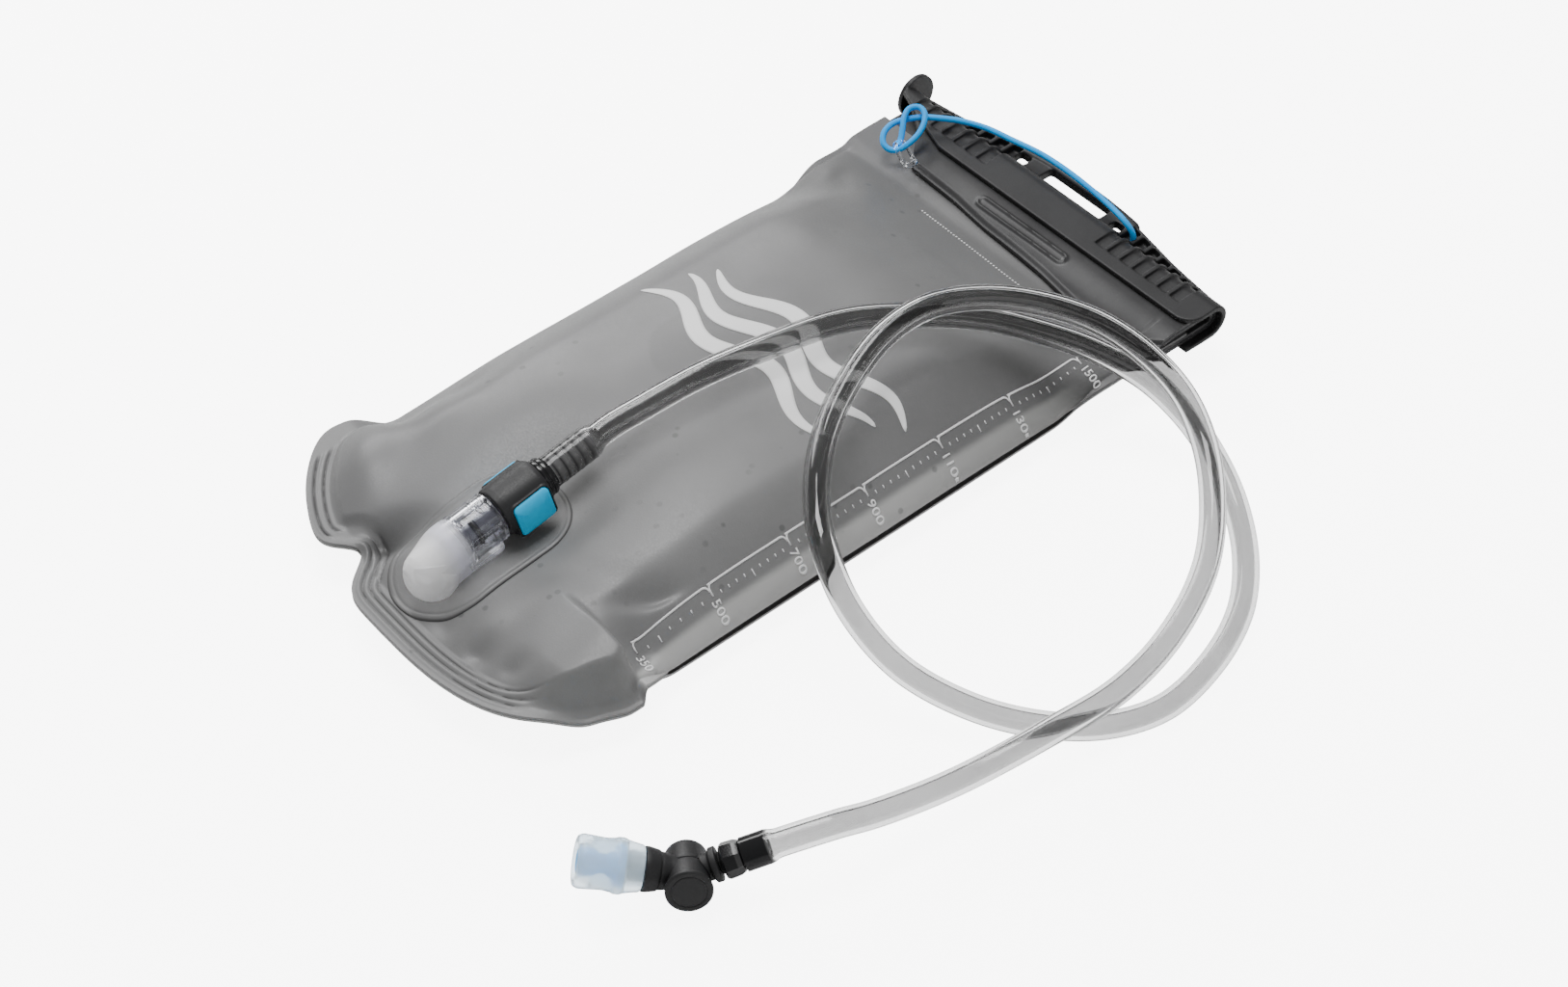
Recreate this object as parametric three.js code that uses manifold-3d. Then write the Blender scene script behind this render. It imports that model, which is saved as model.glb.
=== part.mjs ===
// Hydration bladder: a flexible water bag with a slide closure, a quick-release drinking hose
// and a bite valve with a shut-off.
//
// Millimetres. +X runs along the closure, +Y along the bag towards the closure and +Z up from
// the surface that the bag lies on. The origin is the bottom centre of the bag and slider.

import * as THREE from 'three';
import { mergeVertices } from 'three/addons/utils/BufferGeometryUtils.js';
import Module from 'manifold-3d';

const wasm = await Module();
wasm.setup();

// ---------------------------------------------------------------- driving dimensions

const GAP = 0.3; // clearance left between pieces that touch
const ROUND = 18; // sides of a turned piece

const BAG = {
  halfWidth: 84, // to the outer edge of the side weld
  pillowHalfWidth: 80,
  cornerReach: 3, // how far the lower left corner tab stands past the side weld
  cornerTabY: -134,
  bottomY: -172.5,
  cornerY: -126, // where the rounded bottom meets the straight sides
  topY: 122, // where the film ends at the mouth strips
  bottomWeld: 12,
  seamZ: 15,
  crownZ: 40,
  film: 1.1,
};

// The soft hollow that the hose port presses into the pillow.
const PORT_DENT = { x: 4, y: -105, depth: 12, spreadX: 30, spreadY: 38 };

// The mouth strips are folded once over the front; the fold's centre line runs along X.
const MOUTH = {
  left: -82,
  right: 84,
  foldY: 152,
  foldZ: 18.2,
  frontRadius: 2.2, // centre line of the inner strip round the fold
  backRadius: 4.0,
  thickness: 1.5,
  freeEdgeY: 116.5,
};

const SLIDER = {
  left: -84.3,
  right: 87,
  lipY: 138.5,
  wall: 2,
  outerRadius: 7.4,
  lipZ: 7.1, // half height of the channel at its open side
  grooveWidth: 4.8,
  groovePitch: 6.6,
  firstGrooveX: 33,
  grooves: 7,
  grooveStartY: 145,
  grooveDepth: 1.1,
  pocketStartY: 158.2,
  rail: 1.5, // left behind the pockets, along the rear edge
  plate: 2.7, // end plate thickness
};

const HANDLE = { halfSpan: 80, topY: 172.5, shoulderX: 33, shoulderY: 169, halfThickness: 2.5 };
const WINDOW = { left: -15, right: 18, low: 160.3, high: 166.6 };

// The hose port and the connector that plugs into it share one tilted axis.
const PORT = {
  nose: new THREE.Vector3(4, -159.5, 30.9),
  tiltDeg: 10,
  barrelRadius: 9.4,
  barrelEnd: 37.5,
  boreRadius: 6.9,
  chamberRadius: 5.2,
  chamberStart: 5,
  chamberEnd: 16,
  inletRadius: 2.2,
  inletAt: 9,
};

const PATCH = {
  x: 1.6,
  radius: 21.2,
  lowY: -163,
  highY: -92,
  lift: 1,
  thickness: 1.2,
  sideWidening: 0.02, // keeps the rounded ends' outermost columns from closing to a point
};

// The block under the barrel that is welded to the patch, with a round front.
const FOOT = { left: -3.5, right: 11.5, low: -151, high: -126, bottom: 14, top: 35 };
const FOOT_DOME = { centre: new THREE.Vector3(4, -149.8, 27.3), radius: 10 };

const SPRING = { turns: 4, perTurn: 8, start: 5.8, length: 4.4, coilRadius: 3.4, wireRadius: 0.35 };

const CONNECTOR = {
  noseStart: 13.2,
  noseRadius: 2.6,
  stemStart: 18.9,
  stemRadius: 5.2,
  coreRadius: 5.5,
  waterway: 1.9,
  orings: [22.2, 28.2],
  shellStart: 38.3,
  shellEnd: 58,
  shellHalfWidth: 9.8,
  shellHalfHeight: 9,
  collarEnd: 62,
  collarRadius: 7.6,
  barbEnd: 82,
  buttonStart: 41.4,
  buttonEnd: 56.4,
  buttonLow: -7.2,
  buttonHigh: 4.8,
  buttonInner: 7.3,
  buttonOuter: 11.4,
};

const HOSE = { radius: 4.75, sides: 10, steps: 46 };
const TETHER_RADIUS = 1.35;

// Bite valve: the hub axis, the hose arm and the mouthpiece arm all pass through its centre.
const VALVE = {
  hub: new THREE.Vector3(151, -158.3, 9.9),
  hubAzimuthDeg: -35.9,
  hubElevationDeg: 16.5,
  hoseArmLiftDeg: 18.4,
  armAngleDeg: 148,
  hubRadius: 7.2,
  hubBack: -9.75,
  hubFront: 8,
  capRadius: 8,
  capEnd: 9.9,
  coreRadius: 3.9,
  flangeEnd: 11,
  barbStart: 12.3,
  barbEnd: 28,
  sheathStart: 15,
  sheathEnd: 37,
};

// ---------------------------------------------------------------- helpers

const clamp = (value) => Math.min(1, Math.max(0, value));
const degrees = THREE.MathUtils.degToRad;

/** Gives a geometry position only, merged corners and faces that point out. */
function clean(geometry) {
  const bare = geometry.index ? geometry.toNonIndexed() : geometry.clone();
  bare.deleteAttribute('normal');
  bare.deleteAttribute('uv');
  const merged = mergeVertices(bare, 1e-3);
  const position = merged.attributes.position;
  const index = merged.index.array;
  const a = new THREE.Vector3();
  const b = new THREE.Vector3();
  const c = new THREE.Vector3();
  let volume = 0;
  for (let i = 0; i < index.length; i += 3) {
    a.fromBufferAttribute(position, index[i]);
    b.fromBufferAttribute(position, index[i + 1]);
    c.fromBufferAttribute(position, index[i + 2]);
    volume += a.dot(b.cross(c));
  }
  if (volume < 0) {
    for (let i = 0; i < index.length; i += 3) {
      [index[i + 1], index[i + 2]] = [index[i + 2], index[i + 1]];
    }
  }
  return merged;
}

function solid(geometry) {
  const merged = clean(geometry);
  return new wasm.Manifold(
    new wasm.Mesh({
      numProp: 3,
      vertProperties: Float32Array.from(merged.attributes.position.array),
      triVerts: Uint32Array.from(merged.index.array),
    }),
  );
}

function geometryOf(manifold) {
  const mesh = manifold.getMesh();
  const geometry = new THREE.BufferGeometry();
  geometry.setAttribute('position', new THREE.BufferAttribute(mesh.vertProperties, 3));
  geometry.setIndex(new THREE.BufferAttribute(mesh.triVerts, 1));
  return geometry;
}

/** Turned piece from a profile of [radius, distance along +Y]. */
function turned(profile, sides = ROUND) {
  const points = profile.map(([radius, along]) => new THREE.Vector2(radius, along));
  return new THREE.LatheGeometry(points, sides);
}

/** Turned ring or tube: the profile closes on itself. */
function turnedRing(profile, sides = ROUND) {
  return turned([...profile, profile[0]], sides);
}

function rod(radius, from, to, sides = ROUND) {
  return turned([[0, from], [radius, from], [radius, to], [0, to]], sides);
}

function oring(major, minor, at) {
  const geometry = new THREE.TorusGeometry(major, minor, 6, 16);
  geometry.rotateX(Math.PI / 2);
  geometry.translate(0, at, 0);
  return geometry;
}

function block(low, high) {
  const size = new THREE.Vector3(...high).sub(new THREE.Vector3(...low));
  const geometry = new THREE.BoxGeometry(size.x, size.y, size.z);
  geometry.translate(low[0] + size.x / 2, low[1] + size.y / 2, low[2] + size.z / 2);
  return geometry;
}

/** Extrudes a shape drawn in (Y, Z) along X. */
function extrudeAlongX(shape, from, to, curveSegments = 7) {
  const geometry = new THREE.ExtrudeGeometry(shape, {
    depth: to - from,
    bevelEnabled: false,
    curveSegments,
  });
  const basis = new THREE.Matrix4().makeBasis(
    new THREE.Vector3(0, 1, 0),
    new THREE.Vector3(0, 0, 1),
    new THREE.Vector3(1, 0, 0),
  );
  geometry.applyMatrix4(basis);
  geometry.translate(from, 0, 0);
  return geometry;
}

/** Closed sheet between two surfaces over a grid; each surface maps (u, v) to a point. */
function sheet(columns, rows, upper, lower) {
  const grid = (surface) => {
    const points = [];
    for (let i = 0; i <= columns; i += 1) {
      for (let j = 0; j <= rows; j += 1) {
        points.push(surface(i / columns, j / rows));
      }
    }
    return points;
  };
  const top = grid(upper);
  const bottom = grid(lower);
  const at = (i, j) => i * (rows + 1) + j;
  const positions = [];
  const quad = (a, b, c, d) => {
    for (const point of [a, b, c, a, c, d]) {
      positions.push(...point);
    }
  };
  for (let i = 0; i < columns; i += 1) {
    for (let j = 0; j < rows; j += 1) {
      quad(top[at(i, j)], top[at(i + 1, j)], top[at(i + 1, j + 1)], top[at(i, j + 1)]);
      quad(bottom[at(i, j)], bottom[at(i, j + 1)], bottom[at(i + 1, j + 1)], bottom[at(i + 1, j)]);
    }
  }
  for (let i = 0; i < columns; i += 1) {
    quad(bottom[at(i, 0)], bottom[at(i + 1, 0)], top[at(i + 1, 0)], top[at(i, 0)]);
    quad(top[at(i, rows)], top[at(i + 1, rows)], bottom[at(i + 1, rows)], bottom[at(i, rows)]);
  }
  for (let j = 0; j < rows; j += 1) {
    quad(top[at(0, j)], top[at(0, j + 1)], bottom[at(0, j + 1)], bottom[at(0, j)]);
    quad(
      bottom[at(columns, j)],
      bottom[at(columns, j + 1)],
      top[at(columns, j + 1)],
      top[at(columns, j)],
    );
  }
  const geometry = new THREE.BufferGeometry();
  geometry.setAttribute('position', new THREE.Float32BufferAttribute(positions, 3));
  return geometry;
}

/** Round cord along a smooth curve through points. */
function cord(points, radius, sides, steps) {
  const section = new THREE.Shape();
  for (let k = 0; k < sides; k += 1) {
    const angle = (2 * Math.PI * k) / sides;
    const x = radius * Math.cos(angle);
    const y = radius * Math.sin(angle);
    if (k === 0) {
      section.moveTo(x, y);
    } else {
      section.lineTo(x, y);
    }
  }
  section.closePath();
  const extrudePath = new THREE.CatmullRomCurve3(points);
  return new THREE.ExtrudeGeometry(section, { steps, extrudePath, bevelEnabled: false });
}

const looks = {
  film: { color: 0x6f7070, roughness: 0.45 },
  strip: { color: 0x2b2b2c, roughness: 0.55 },
  blackPlastic: { color: 0x1f2021, roughness: 0.5 },
  bluePlastic: { color: 0x1f9fe0, roughness: 0.4 },
  clear: { color: 0xcfd6da, roughness: 0.2, transparent: true, opacity: 0.5 },
  frosted: { color: 0xd8dcdf, roughness: 0.45, transparent: true, opacity: 0.6 },
  hose: { color: 0x55585a, roughness: 0.2, transparent: true, opacity: 0.6 },
  rubber: { color: 0x151515, roughness: 0.6 },
  silicone: { color: 0xe9eef2, roughness: 0.4, transparent: true, opacity: 0.6 },
  steel: { color: 0xb5b7b8, roughness: 0.25, metalness: 1 },
};

function piece(name, geometry, look) {
  const shape = clean(geometry);
  shape.computeVertexNormals();
  const mesh = new THREE.Mesh(shape, new THREE.MeshStandardMaterial(looks[look]));
  mesh.name = name;
  return mesh;
}

// ---------------------------------------------------------------- the bag

/** Y of the rounded bottom edge at x. */
function bottomEdge(x) {
  const across = clamp(1 - (x / BAG.halfWidth) ** 2);
  return BAG.cornerY + (BAG.bottomY - BAG.cornerY) * Math.sqrt(across);
}

/** How full the pillow is at (x, y), from 0 at its welds to 1 at the crown. */
function fullness(x, y, halfWidth, form) {
  const side = clamp(1 - Math.abs(x / halfWidth) ** form.sidePower) ** 0.5;
  const fromBottom = clamp((y - bottomEdge(x) - BAG.bottomWeld) / form.rise);
  const fromTop = clamp((BAG.topY - y) / form.fall);
  const rise = 1 - (1 - fromBottom) ** 2.2;
  const fall = Math.sin((Math.PI / 2) * fromTop) ** 1.3;
  return Math.min(1, form.flatten * side * rise * fall);
}

const FRONT_FORM = { sidePower: 2.4, rise: 105, fall: 75, flatten: 1 };
const BACK_FORM = { sidePower: 5, rise: 45, fall: 60, flatten: 1.1 };

function portDent(x, y) {
  const across = (x - PORT_DENT.x) / PORT_DENT.spreadX;
  const along = (y - PORT_DENT.y) / PORT_DENT.spreadY;
  return PORT_DENT.depth * Math.exp(-(across ** 2) - along ** 2);
}

/** Height of the front panel's outer face, or of its inner face with inset = film. */
function frontHeight(x, y, inset = 0) {
  const flat = BAG.seamZ + GAP / 2 + BAG.film - inset;
  const full = fullness(x, y, BAG.pillowHalfWidth - inset, FRONT_FORM);
  const dent = portDent(x, y) * full;
  return flat + (BAG.crownZ - BAG.seamZ - GAP / 2 - BAG.film) * full - dent;
}

function backHeight(x, y, inset = 0) {
  const flat = BAG.seamZ - GAP / 2 - BAG.film + inset;
  const full = fullness(x, y, BAG.pillowHalfWidth - inset, BACK_FORM);
  return flat - (BAG.seamZ - GAP / 2 - BAG.film) * full;
}

/** Maps (u, v) to a point of the bag's outline, with columns closer together at the sides. */
function bagPoint(u, v, height) {
  const across = Math.sin((Math.PI / 2) * (2 * u - 1)) * BAG.halfWidth;
  const low = bottomEdge(across);
  const y = low + (BAG.topY - low) * v;
  const tab = BAG.cornerReach * clamp(-across / BAG.halfWidth) ** 8;
  const x = across - tab * Math.exp(-(((y - BAG.cornerTabY) / 16) ** 2));
  return [x, y, height(across, y)];
}

function bagPanel(height, columns, rows) {
  return sheet(
    columns,
    rows,
    (u, v) => bagPoint(u, v, (x, y) => height(x, y)),
    (u, v) => bagPoint(u, v, (x, y) => height(x, y, BAG.film)),
  );
}

// ---------------------------------------------------------------- the hose port

/** Moves port coordinates (across, along the axis, up) into the bag's frame. */
const portMatrix = new THREE.Matrix4()
  .makeTranslation(PORT.nose)
  .multiply(new THREE.Matrix4().makeRotationX(degrees(PORT.tiltDeg)));

function inletHole() {
  const drill = rod(PORT.inletRadius, -24, 0, 12);
  drill.rotateX(Math.PI / 2);
  drill.translate(0, PORT.inletAt, 0);
  drill.applyMatrix4(portMatrix);
  return solid(drill);
}

/** Stadium-shaped sheet that follows the front panel at a height above it. */
function patchSheet(lift, thickness) {
  const point = (u, v, height) => {
    const across = Math.sin((Math.PI / 2) * (2 * u - 1));
    const end = PATCH.radius * Math.sqrt(clamp(1 - across ** 2) + PATCH.sideWidening);
    const x = PATCH.x + PATCH.radius * across;
    const low = PATCH.lowY + PATCH.radius - end;
    const high = PATCH.highY - PATCH.radius + end;
    const y = low + (high - low) * v;
    return [x, y, frontHeight(x, y) + height];
  };
  return sheet(10, 14, (u, v) => point(u, v, lift + thickness), (u, v) => point(u, v, lift));
}

function portHousing() {
  const { barrelRadius: outer, barrelEnd: end } = PORT;
  const barrel = turned([
    [0, 0],
    [4.2, 0.6],
    [6, 3],
    [6.8, 8],
    [8.6, 12.6],
    [outer, 13.6],
    [outer, end],
    [0, end],
  ]);
  barrel.applyMatrix4(portMatrix);
  const dome = new THREE.SphereGeometry(FOOT_DOME.radius, 18, 12);
  dome.translate(...FOOT_DOME.centre);
  const foot = solid(
    block([FOOT.left, FOOT.low, FOOT.bottom], [FOOT.right, FOOT.high, FOOT.top]),
  );
  const bore = turned([
    [0, PORT.chamberStart],
    [PORT.chamberRadius, PORT.chamberStart],
    [PORT.chamberRadius, PORT.chamberEnd],
    [PORT.boreRadius, PORT.chamberEnd],
    [PORT.boreRadius, end + 1],
    [0, end + 1],
  ]);
  bore.applyMatrix4(portMatrix);
  const below = solid(patchSheet(-30, 30 + PATCH.lift + PATCH.thickness + GAP));
  const shape = solid(barrel)
    .add(foot)
    .add(solid(dome))
    .subtract(below)
    .subtract(solid(bore))
    .subtract(inletHole());
  return geometryOf(shape).applyMatrix4(portMatrix.clone().invert());
}

function poppet() {
  return turned([[0, 6.6], [1.6, 6.6], [1.6, 10.9], [4.6, 10.9], [4.6, 12.9], [0, 12.9]]);
}

function poppetSpring() {
  const coil = [];
  const steps = SPRING.turns * SPRING.perTurn;
  for (let k = 0; k <= steps; k += 1) {
    const angle = (2 * Math.PI * k) / SPRING.perTurn;
    const along = SPRING.start + (SPRING.length * k) / steps;
    const x = SPRING.coilRadius * Math.cos(angle);
    const z = SPRING.coilRadius * Math.sin(angle);
    coil.push(new THREE.Vector3(x, along, z));
  }
  return cord(coil, SPRING.wireRadius, 5, steps);
}

// ---------------------------------------------------------------- the connector

/** Outline of a barbed stem from one place to another, as [radius, distance]. */
function barbs(from, to, count, core, crest) {
  const pitch = (to - from) / count;
  const points = [];
  for (let k = 0; k < count; k += 1) {
    const start = from + k * pitch;
    points.push([crest, start + 0.4], [core, start + pitch - 0.2]);
  }
  return points;
}

function connectorStem() {
  const c = CONNECTOR;
  const grooves = c.orings.flatMap((at) => [
    [c.stemRadius, at - 1.2],
    [4.2, at - 1.2],
    [4.2, at + 1.2],
    [c.stemRadius, at + 1.2],
  ]);
  return turnedRing([
    [c.waterway, c.noseStart],
    [c.noseRadius, c.noseStart],
    [c.noseRadius, c.stemStart],
    [c.stemRadius, c.stemStart],
    ...grooves,
    [c.stemRadius, c.shellStart - 0.8],
    [c.coreRadius, c.shellStart - 0.8],
    [c.coreRadius, c.collarEnd],
    [3.1, c.collarEnd + 0.3],
    ...barbs(c.collarEnd + 1.2, c.barbEnd - 0.4, 5, 3.1, 4.1),
    [2.7, c.barbEnd],
    [c.waterway, c.barbEnd],
  ]);
}

function connectorShell() {
  const c = CONNECTOR;
  const outline = new THREE.Shape();
  const w = c.shellHalfWidth;
  const h = c.shellHalfHeight;
  const r = 5.5;
  outline.moveTo(-w + r, -h);
  outline.lineTo(w - r, -h);
  outline.absarc(w - r, -h + r, r, -Math.PI / 2, 0);
  outline.absarc(w - r, h - r, r, 0, Math.PI / 2);
  outline.absarc(-w + r, h - r, r, Math.PI / 2, Math.PI);
  outline.absarc(-w + r, -h + r, r, Math.PI, 1.5 * Math.PI);
  const body = new THREE.ExtrudeGeometry(outline, {
    depth: c.shellEnd - c.shellStart,
    bevelEnabled: false,
    curveSegments: 4,
  });
  body.rotateX(Math.PI / 2);
  body.translate(0, c.shellEnd, 0);
  const low = [c.coreRadius + 0.2, c.buttonStart - GAP, c.buttonLow - GAP];
  const high = [c.shellHalfWidth + 2, c.buttonEnd + GAP, c.buttonHigh + GAP];
  const right = solid(block(low, high));
  const left = solid(block([-high[0], low[1], low[2]], [-low[0], high[1], high[2]]));
  const bore = solid(rod(c.coreRadius + GAP, c.shellStart - 1, c.shellEnd + 1));
  return geometryOf(solid(body).subtract(bore).subtract(right).subtract(left));
}

function button(side) {
  const c = CONNECTOR;
  const outline = new THREE.Shape();
  const low = c.buttonStart;
  const high = c.buttonEnd;
  const crown = 0.8;
  outline.moveTo(c.buttonInner, low);
  outline.lineTo(c.buttonOuter - crown, low);
  outline.lineTo(c.buttonOuter, low + 2);
  outline.lineTo(c.buttonOuter, high - 2);
  outline.lineTo(c.buttonOuter - crown, high);
  outline.lineTo(c.buttonInner, high);
  outline.closePath();
  const geometry = new THREE.ExtrudeGeometry(outline, {
    depth: c.buttonHigh - c.buttonLow,
    bevelEnabled: false,
  });
  geometry.translate(0, 0, c.buttonLow);
  geometry.scale(side, 1, 1);
  return geometry;
}

// ---------------------------------------------------------------- the mouth and its slider

/** A strip folded over the front: a J in (Y, Z), extruded along X, with its corners cut off. */
function mouthStrip(radius) {
  const m = MOUTH;
  const half = m.thickness / 2;
  const start = BAG.topY + GAP;
  const section = new THREE.Shape();
  section.moveTo(start, m.foldZ - radius - half);
  section.lineTo(m.foldY, m.foldZ - radius - half);
  section.absarc(m.foldY, m.foldZ, radius + half, -Math.PI / 2, Math.PI / 2, false);
  section.lineTo(m.freeEdgeY, m.foldZ + radius + half);
  section.lineTo(m.freeEdgeY, m.foldZ + radius - half);
  section.lineTo(m.foldY, m.foldZ + radius - half);
  section.absarc(m.foldY, m.foldZ, radius - half, Math.PI / 2, -Math.PI / 2, true);
  section.lineTo(start, m.foldZ - radius + half);
  section.closePath();
  let strip = solid(extrudeAlongX(section, m.left, m.right, 8));
  for (const side of [-1, 1]) {
    const edge = side < 0 ? m.left : m.right;
    const corner = block([-7, -7, 0], [7, 7, 12]);
    corner.rotateZ(Math.PI / 4);
    corner.translate(edge, m.freeEdgeY, m.foldZ);
    strip = strip.subtract(solid(corner));
  }
  return geometryOf(strip);
}

function slider() {
  const s = SLIDER;
  const { foldY, foldZ } = MOUTH;
  const inner = s.lipZ - s.wall;
  const channel = new THREE.Shape();
  channel.moveTo(s.lipY, foldZ + inner);
  channel.lineTo(s.lipY, foldZ + s.lipZ);
  channel.lineTo(foldY, foldZ + s.outerRadius);
  channel.absarc(foldY, foldZ, s.outerRadius, Math.PI / 2, -Math.PI / 2, true);
  channel.lineTo(s.lipY, foldZ - s.lipZ);
  channel.lineTo(s.lipY, foldZ - inner);
  channel.lineTo(foldY, foldZ - inner);
  channel.absarc(foldY, foldZ, inner, -Math.PI / 2, Math.PI / 2, false);
  channel.closePath();
  let shape = solid(extrudeAlongX(channel, s.left, s.right));
  shape = shape.add(handle()).subtract(leftCorner()).add(endPlate());
  const windowCut = block(
    [WINDOW.left, WINDOW.low, foldZ - 20],
    [WINDOW.right, WINDOW.high, foldZ + 20],
  );
  shape = shape.subtract(solid(windowCut));
  return geometryOf(shape.subtract(grooves()).subtract(pockets()));
}

/** Runs make(low, high) with the X range of each groove and joins the results. */
function forEachGroove(make) {
  const s = SLIDER;
  const parts = [];
  for (let k = 0; k < s.grooves; k += 1) {
    for (const side of [-1, 1]) {
      const x = side * (s.firstGrooveX + k * s.groovePitch);
      parts.push(solid(make(x - s.grooveWidth / 2, x + s.grooveWidth / 2)));
    }
  }
  return wasm.Manifold.union(parts);
}

/** Shallow grooves across the channel, with floors that follow its outside. */
function grooves() {
  const s = SLIDER;
  const { foldY, foldZ } = MOUTH;
  const depth = s.outerRadius - s.grooveDepth;
  const floor = rod(depth, -100, 100, 48);
  floor.rotateZ(Math.PI / 2);
  floor.translate(0, foldY, foldZ);
  const flat = block([-100, 130, foldZ], [100, foldY, foldZ + s.lipZ - s.grooveDepth + 0.1]);
  const cut = forEachGroove((low, high) =>
    block([low, s.grooveStartY, foldZ + 2.5], [high, s.pocketStartY, foldZ + 20]),
  );
  return cut.subtract(solid(floor)).subtract(solid(flat));
}

/** Pockets behind the channel, closed at the rear by a thin rail. */
function pockets() {
  const s = SLIDER;
  const { foldZ } = MOUTH;
  const span = solid(handleShape(-s.rail, foldZ - 1, foldZ + 20));
  const cut = forEachGroove((low, high) =>
    block([low, s.pocketStartY, foldZ - 1], [high, HANDLE.topY + 1, foldZ + 20]),
  );
  return cut.intersect(span);
}

/** The front left corner of the channel's upper wall is cut off obliquely. */
function leftCorner() {
  const s = SLIDER;
  const outline = new THREE.Shape();
  outline.moveTo(s.left - 5, s.lipY - 5);
  outline.lineTo(-46, s.lipY - 5);
  outline.lineTo(-50, s.lipY);
  outline.lineTo(-61, 142.2);
  outline.lineTo(s.left, 151);
  outline.lineTo(s.left - 5, 153);
  outline.closePath();
  const geometry = new THREE.ExtrudeGeometry(outline, { depth: 20, bevelEnabled: false });
  geometry.translate(0, 0, MOUTH.foldZ);
  return solid(geometry);
}

/** The arched outline behind the channel, with its rear edge moved by offset, between two heights. */
function handleShape(offset, low, high) {
  const h = HANDLE;
  const root = MOUTH.foldY + SLIDER.outerRadius - 1.5;
  const outline = new THREE.Shape();
  outline.moveTo(-h.halfSpan, root);
  outline.lineTo(h.halfSpan, root);
  const arch = new THREE.CatmullRomCurve3(
    [
      [h.halfSpan, root + 2],
      [58, 163.5],
      [h.shoulderX, h.shoulderY],
      [0, h.topY],
      [-h.shoulderX, h.shoulderY],
      [-58, 163.5],
      [-h.halfSpan, root + 2],
    ].map(([x, y]) => new THREE.Vector3(x, y, 0)),
  );
  for (const point of arch.getPoints(24)) {
    outline.lineTo(point.x, Math.min(point.y, h.topY) + offset);
  }
  outline.closePath();
  const geometry = new THREE.ExtrudeGeometry(outline, { depth: high - low, bevelEnabled: false });
  geometry.translate(0, 0, low);
  return geometry;
}

/** The arched grip behind the channel. */
function handle() {
  const { foldY, foldZ } = MOUTH;
  const half = HANDLE.halfThickness;
  // The channel stays open: what reaches inside it is cut away.
  const inside = rod(SLIDER.lipZ - SLIDER.wall, -100, 100);
  inside.rotateZ(Math.PI / 2);
  inside.translate(0, foldY, foldZ);
  return solid(handleShape(0, foldZ - half, foldZ + half)).subtract(solid(inside));
}

/** The oval plate that closes the channel's left end. */
function endPlate() {
  const plate = rod(1, -SLIDER.plate, 0, 20);
  plate.rotateZ(-Math.PI / 2);
  plate.scale(1, 9, 9.6);
  plate.translate(SLIDER.left, MOUTH.foldY + 7, MOUTH.foldZ);
  return solid(plate);
}

// ---------------------------------------------------------------- the tether

function tether() {
  const route = [
    [35, 160, 27.6],
    [16, 163, 29],
    [-7, 164, 30.5],
    [-24, 161, 31],
    [-46, 157, 30],
    [-57, 153, 29.5],
    [-65, 145, 29],
    [-69, 136, 28.5],
    [-67, 128, 27.5],
    [-60, 125.5, 26.7],
  ];
  const points = route.map((point) => new THREE.Vector3(...point));
  return cord(points, TETHER_RADIUS, 8, 20);
}

/** A flat link welded to the flap, which the tether is hitched to. */
function tetherTab() {
  const link = (length, width) => {
    const outline = new THREE.Shape();
    const half = length / 2 - width / 2;
    outline.absarc(half, 0, width / 2, -Math.PI / 2, Math.PI / 2, false);
    outline.absarc(-half, 0, width / 2, Math.PI / 2, 1.5 * Math.PI, false);
    return outline;
  };
  const outline = link(14, 6.5);
  outline.holes.push(link(8, 3));
  const geometry = new THREE.ExtrudeGeometry(outline, {
    depth: 1.4,
    bevelEnabled: false,
    curveSegments: 8,
  });
  geometry.rotateZ(degrees(168));
  geometry.translate(-55, 125.2, MOUTH.foldZ + MOUTH.backRadius + MOUTH.thickness / 2 + GAP);
  return geometry;
}

// ---------------------------------------------------------------- the bite valve

const valveBasis = (() => {
  const azimuth = degrees(VALVE.hubAzimuthDeg);
  const elevation = degrees(VALVE.hubElevationDeg);
  const hubAxis = new THREE.Vector3(
    Math.cos(azimuth) * Math.cos(elevation),
    Math.sin(azimuth) * Math.cos(elevation),
    Math.sin(elevation),
  );
  const level = new THREE.Vector3(0, 0, 1).cross(hubAxis).normalize();
  const hoseArm = level.applyAxisAngle(hubAxis, degrees(VALVE.hoseArmLiftDeg));
  const third = hoseArm.clone().cross(hubAxis);
  return { hubAxis, hoseArm, matrix: new THREE.Matrix4().makeBasis(hoseArm, hubAxis, third) };
})();

/** Lays a piece turned about Y along the hose arm, which is X in the valve's frame. */
function alongHoseArm(geometry) {
  return geometry.rotateZ(-Math.PI / 2);
}

function alongMouthArm(geometry) {
  return alongHoseArm(geometry).rotateY(degrees(VALVE.armAngleDeg));
}

function valveElbow() {
  const v = VALVE;
  const arm = alongHoseArm(
    turned([[0, 0], [4.6, 0], [4.6, 8.3], [6, 9], [6, v.flangeEnd], [0, v.flangeEnd]]),
  );
  const other = rod(v.hubRadius + GAP, -GAP / 2, v.capEnd + 1);
  const coreBore = rod(v.coreRadius + GAP, v.hubBack + 2.2, v.capEnd + 1);
  const socket = alongHoseArm(rod(2.6 + GAP, 7.6, v.flangeEnd + 1));
  const shape = solid(rod(v.hubRadius, v.hubBack, -GAP / 2))
    .add(solid(arm))
    .subtract(solid(other))
    .subtract(solid(coreBore))
    .subtract(solid(socket));
  return geometryOf(shape);
}

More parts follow.
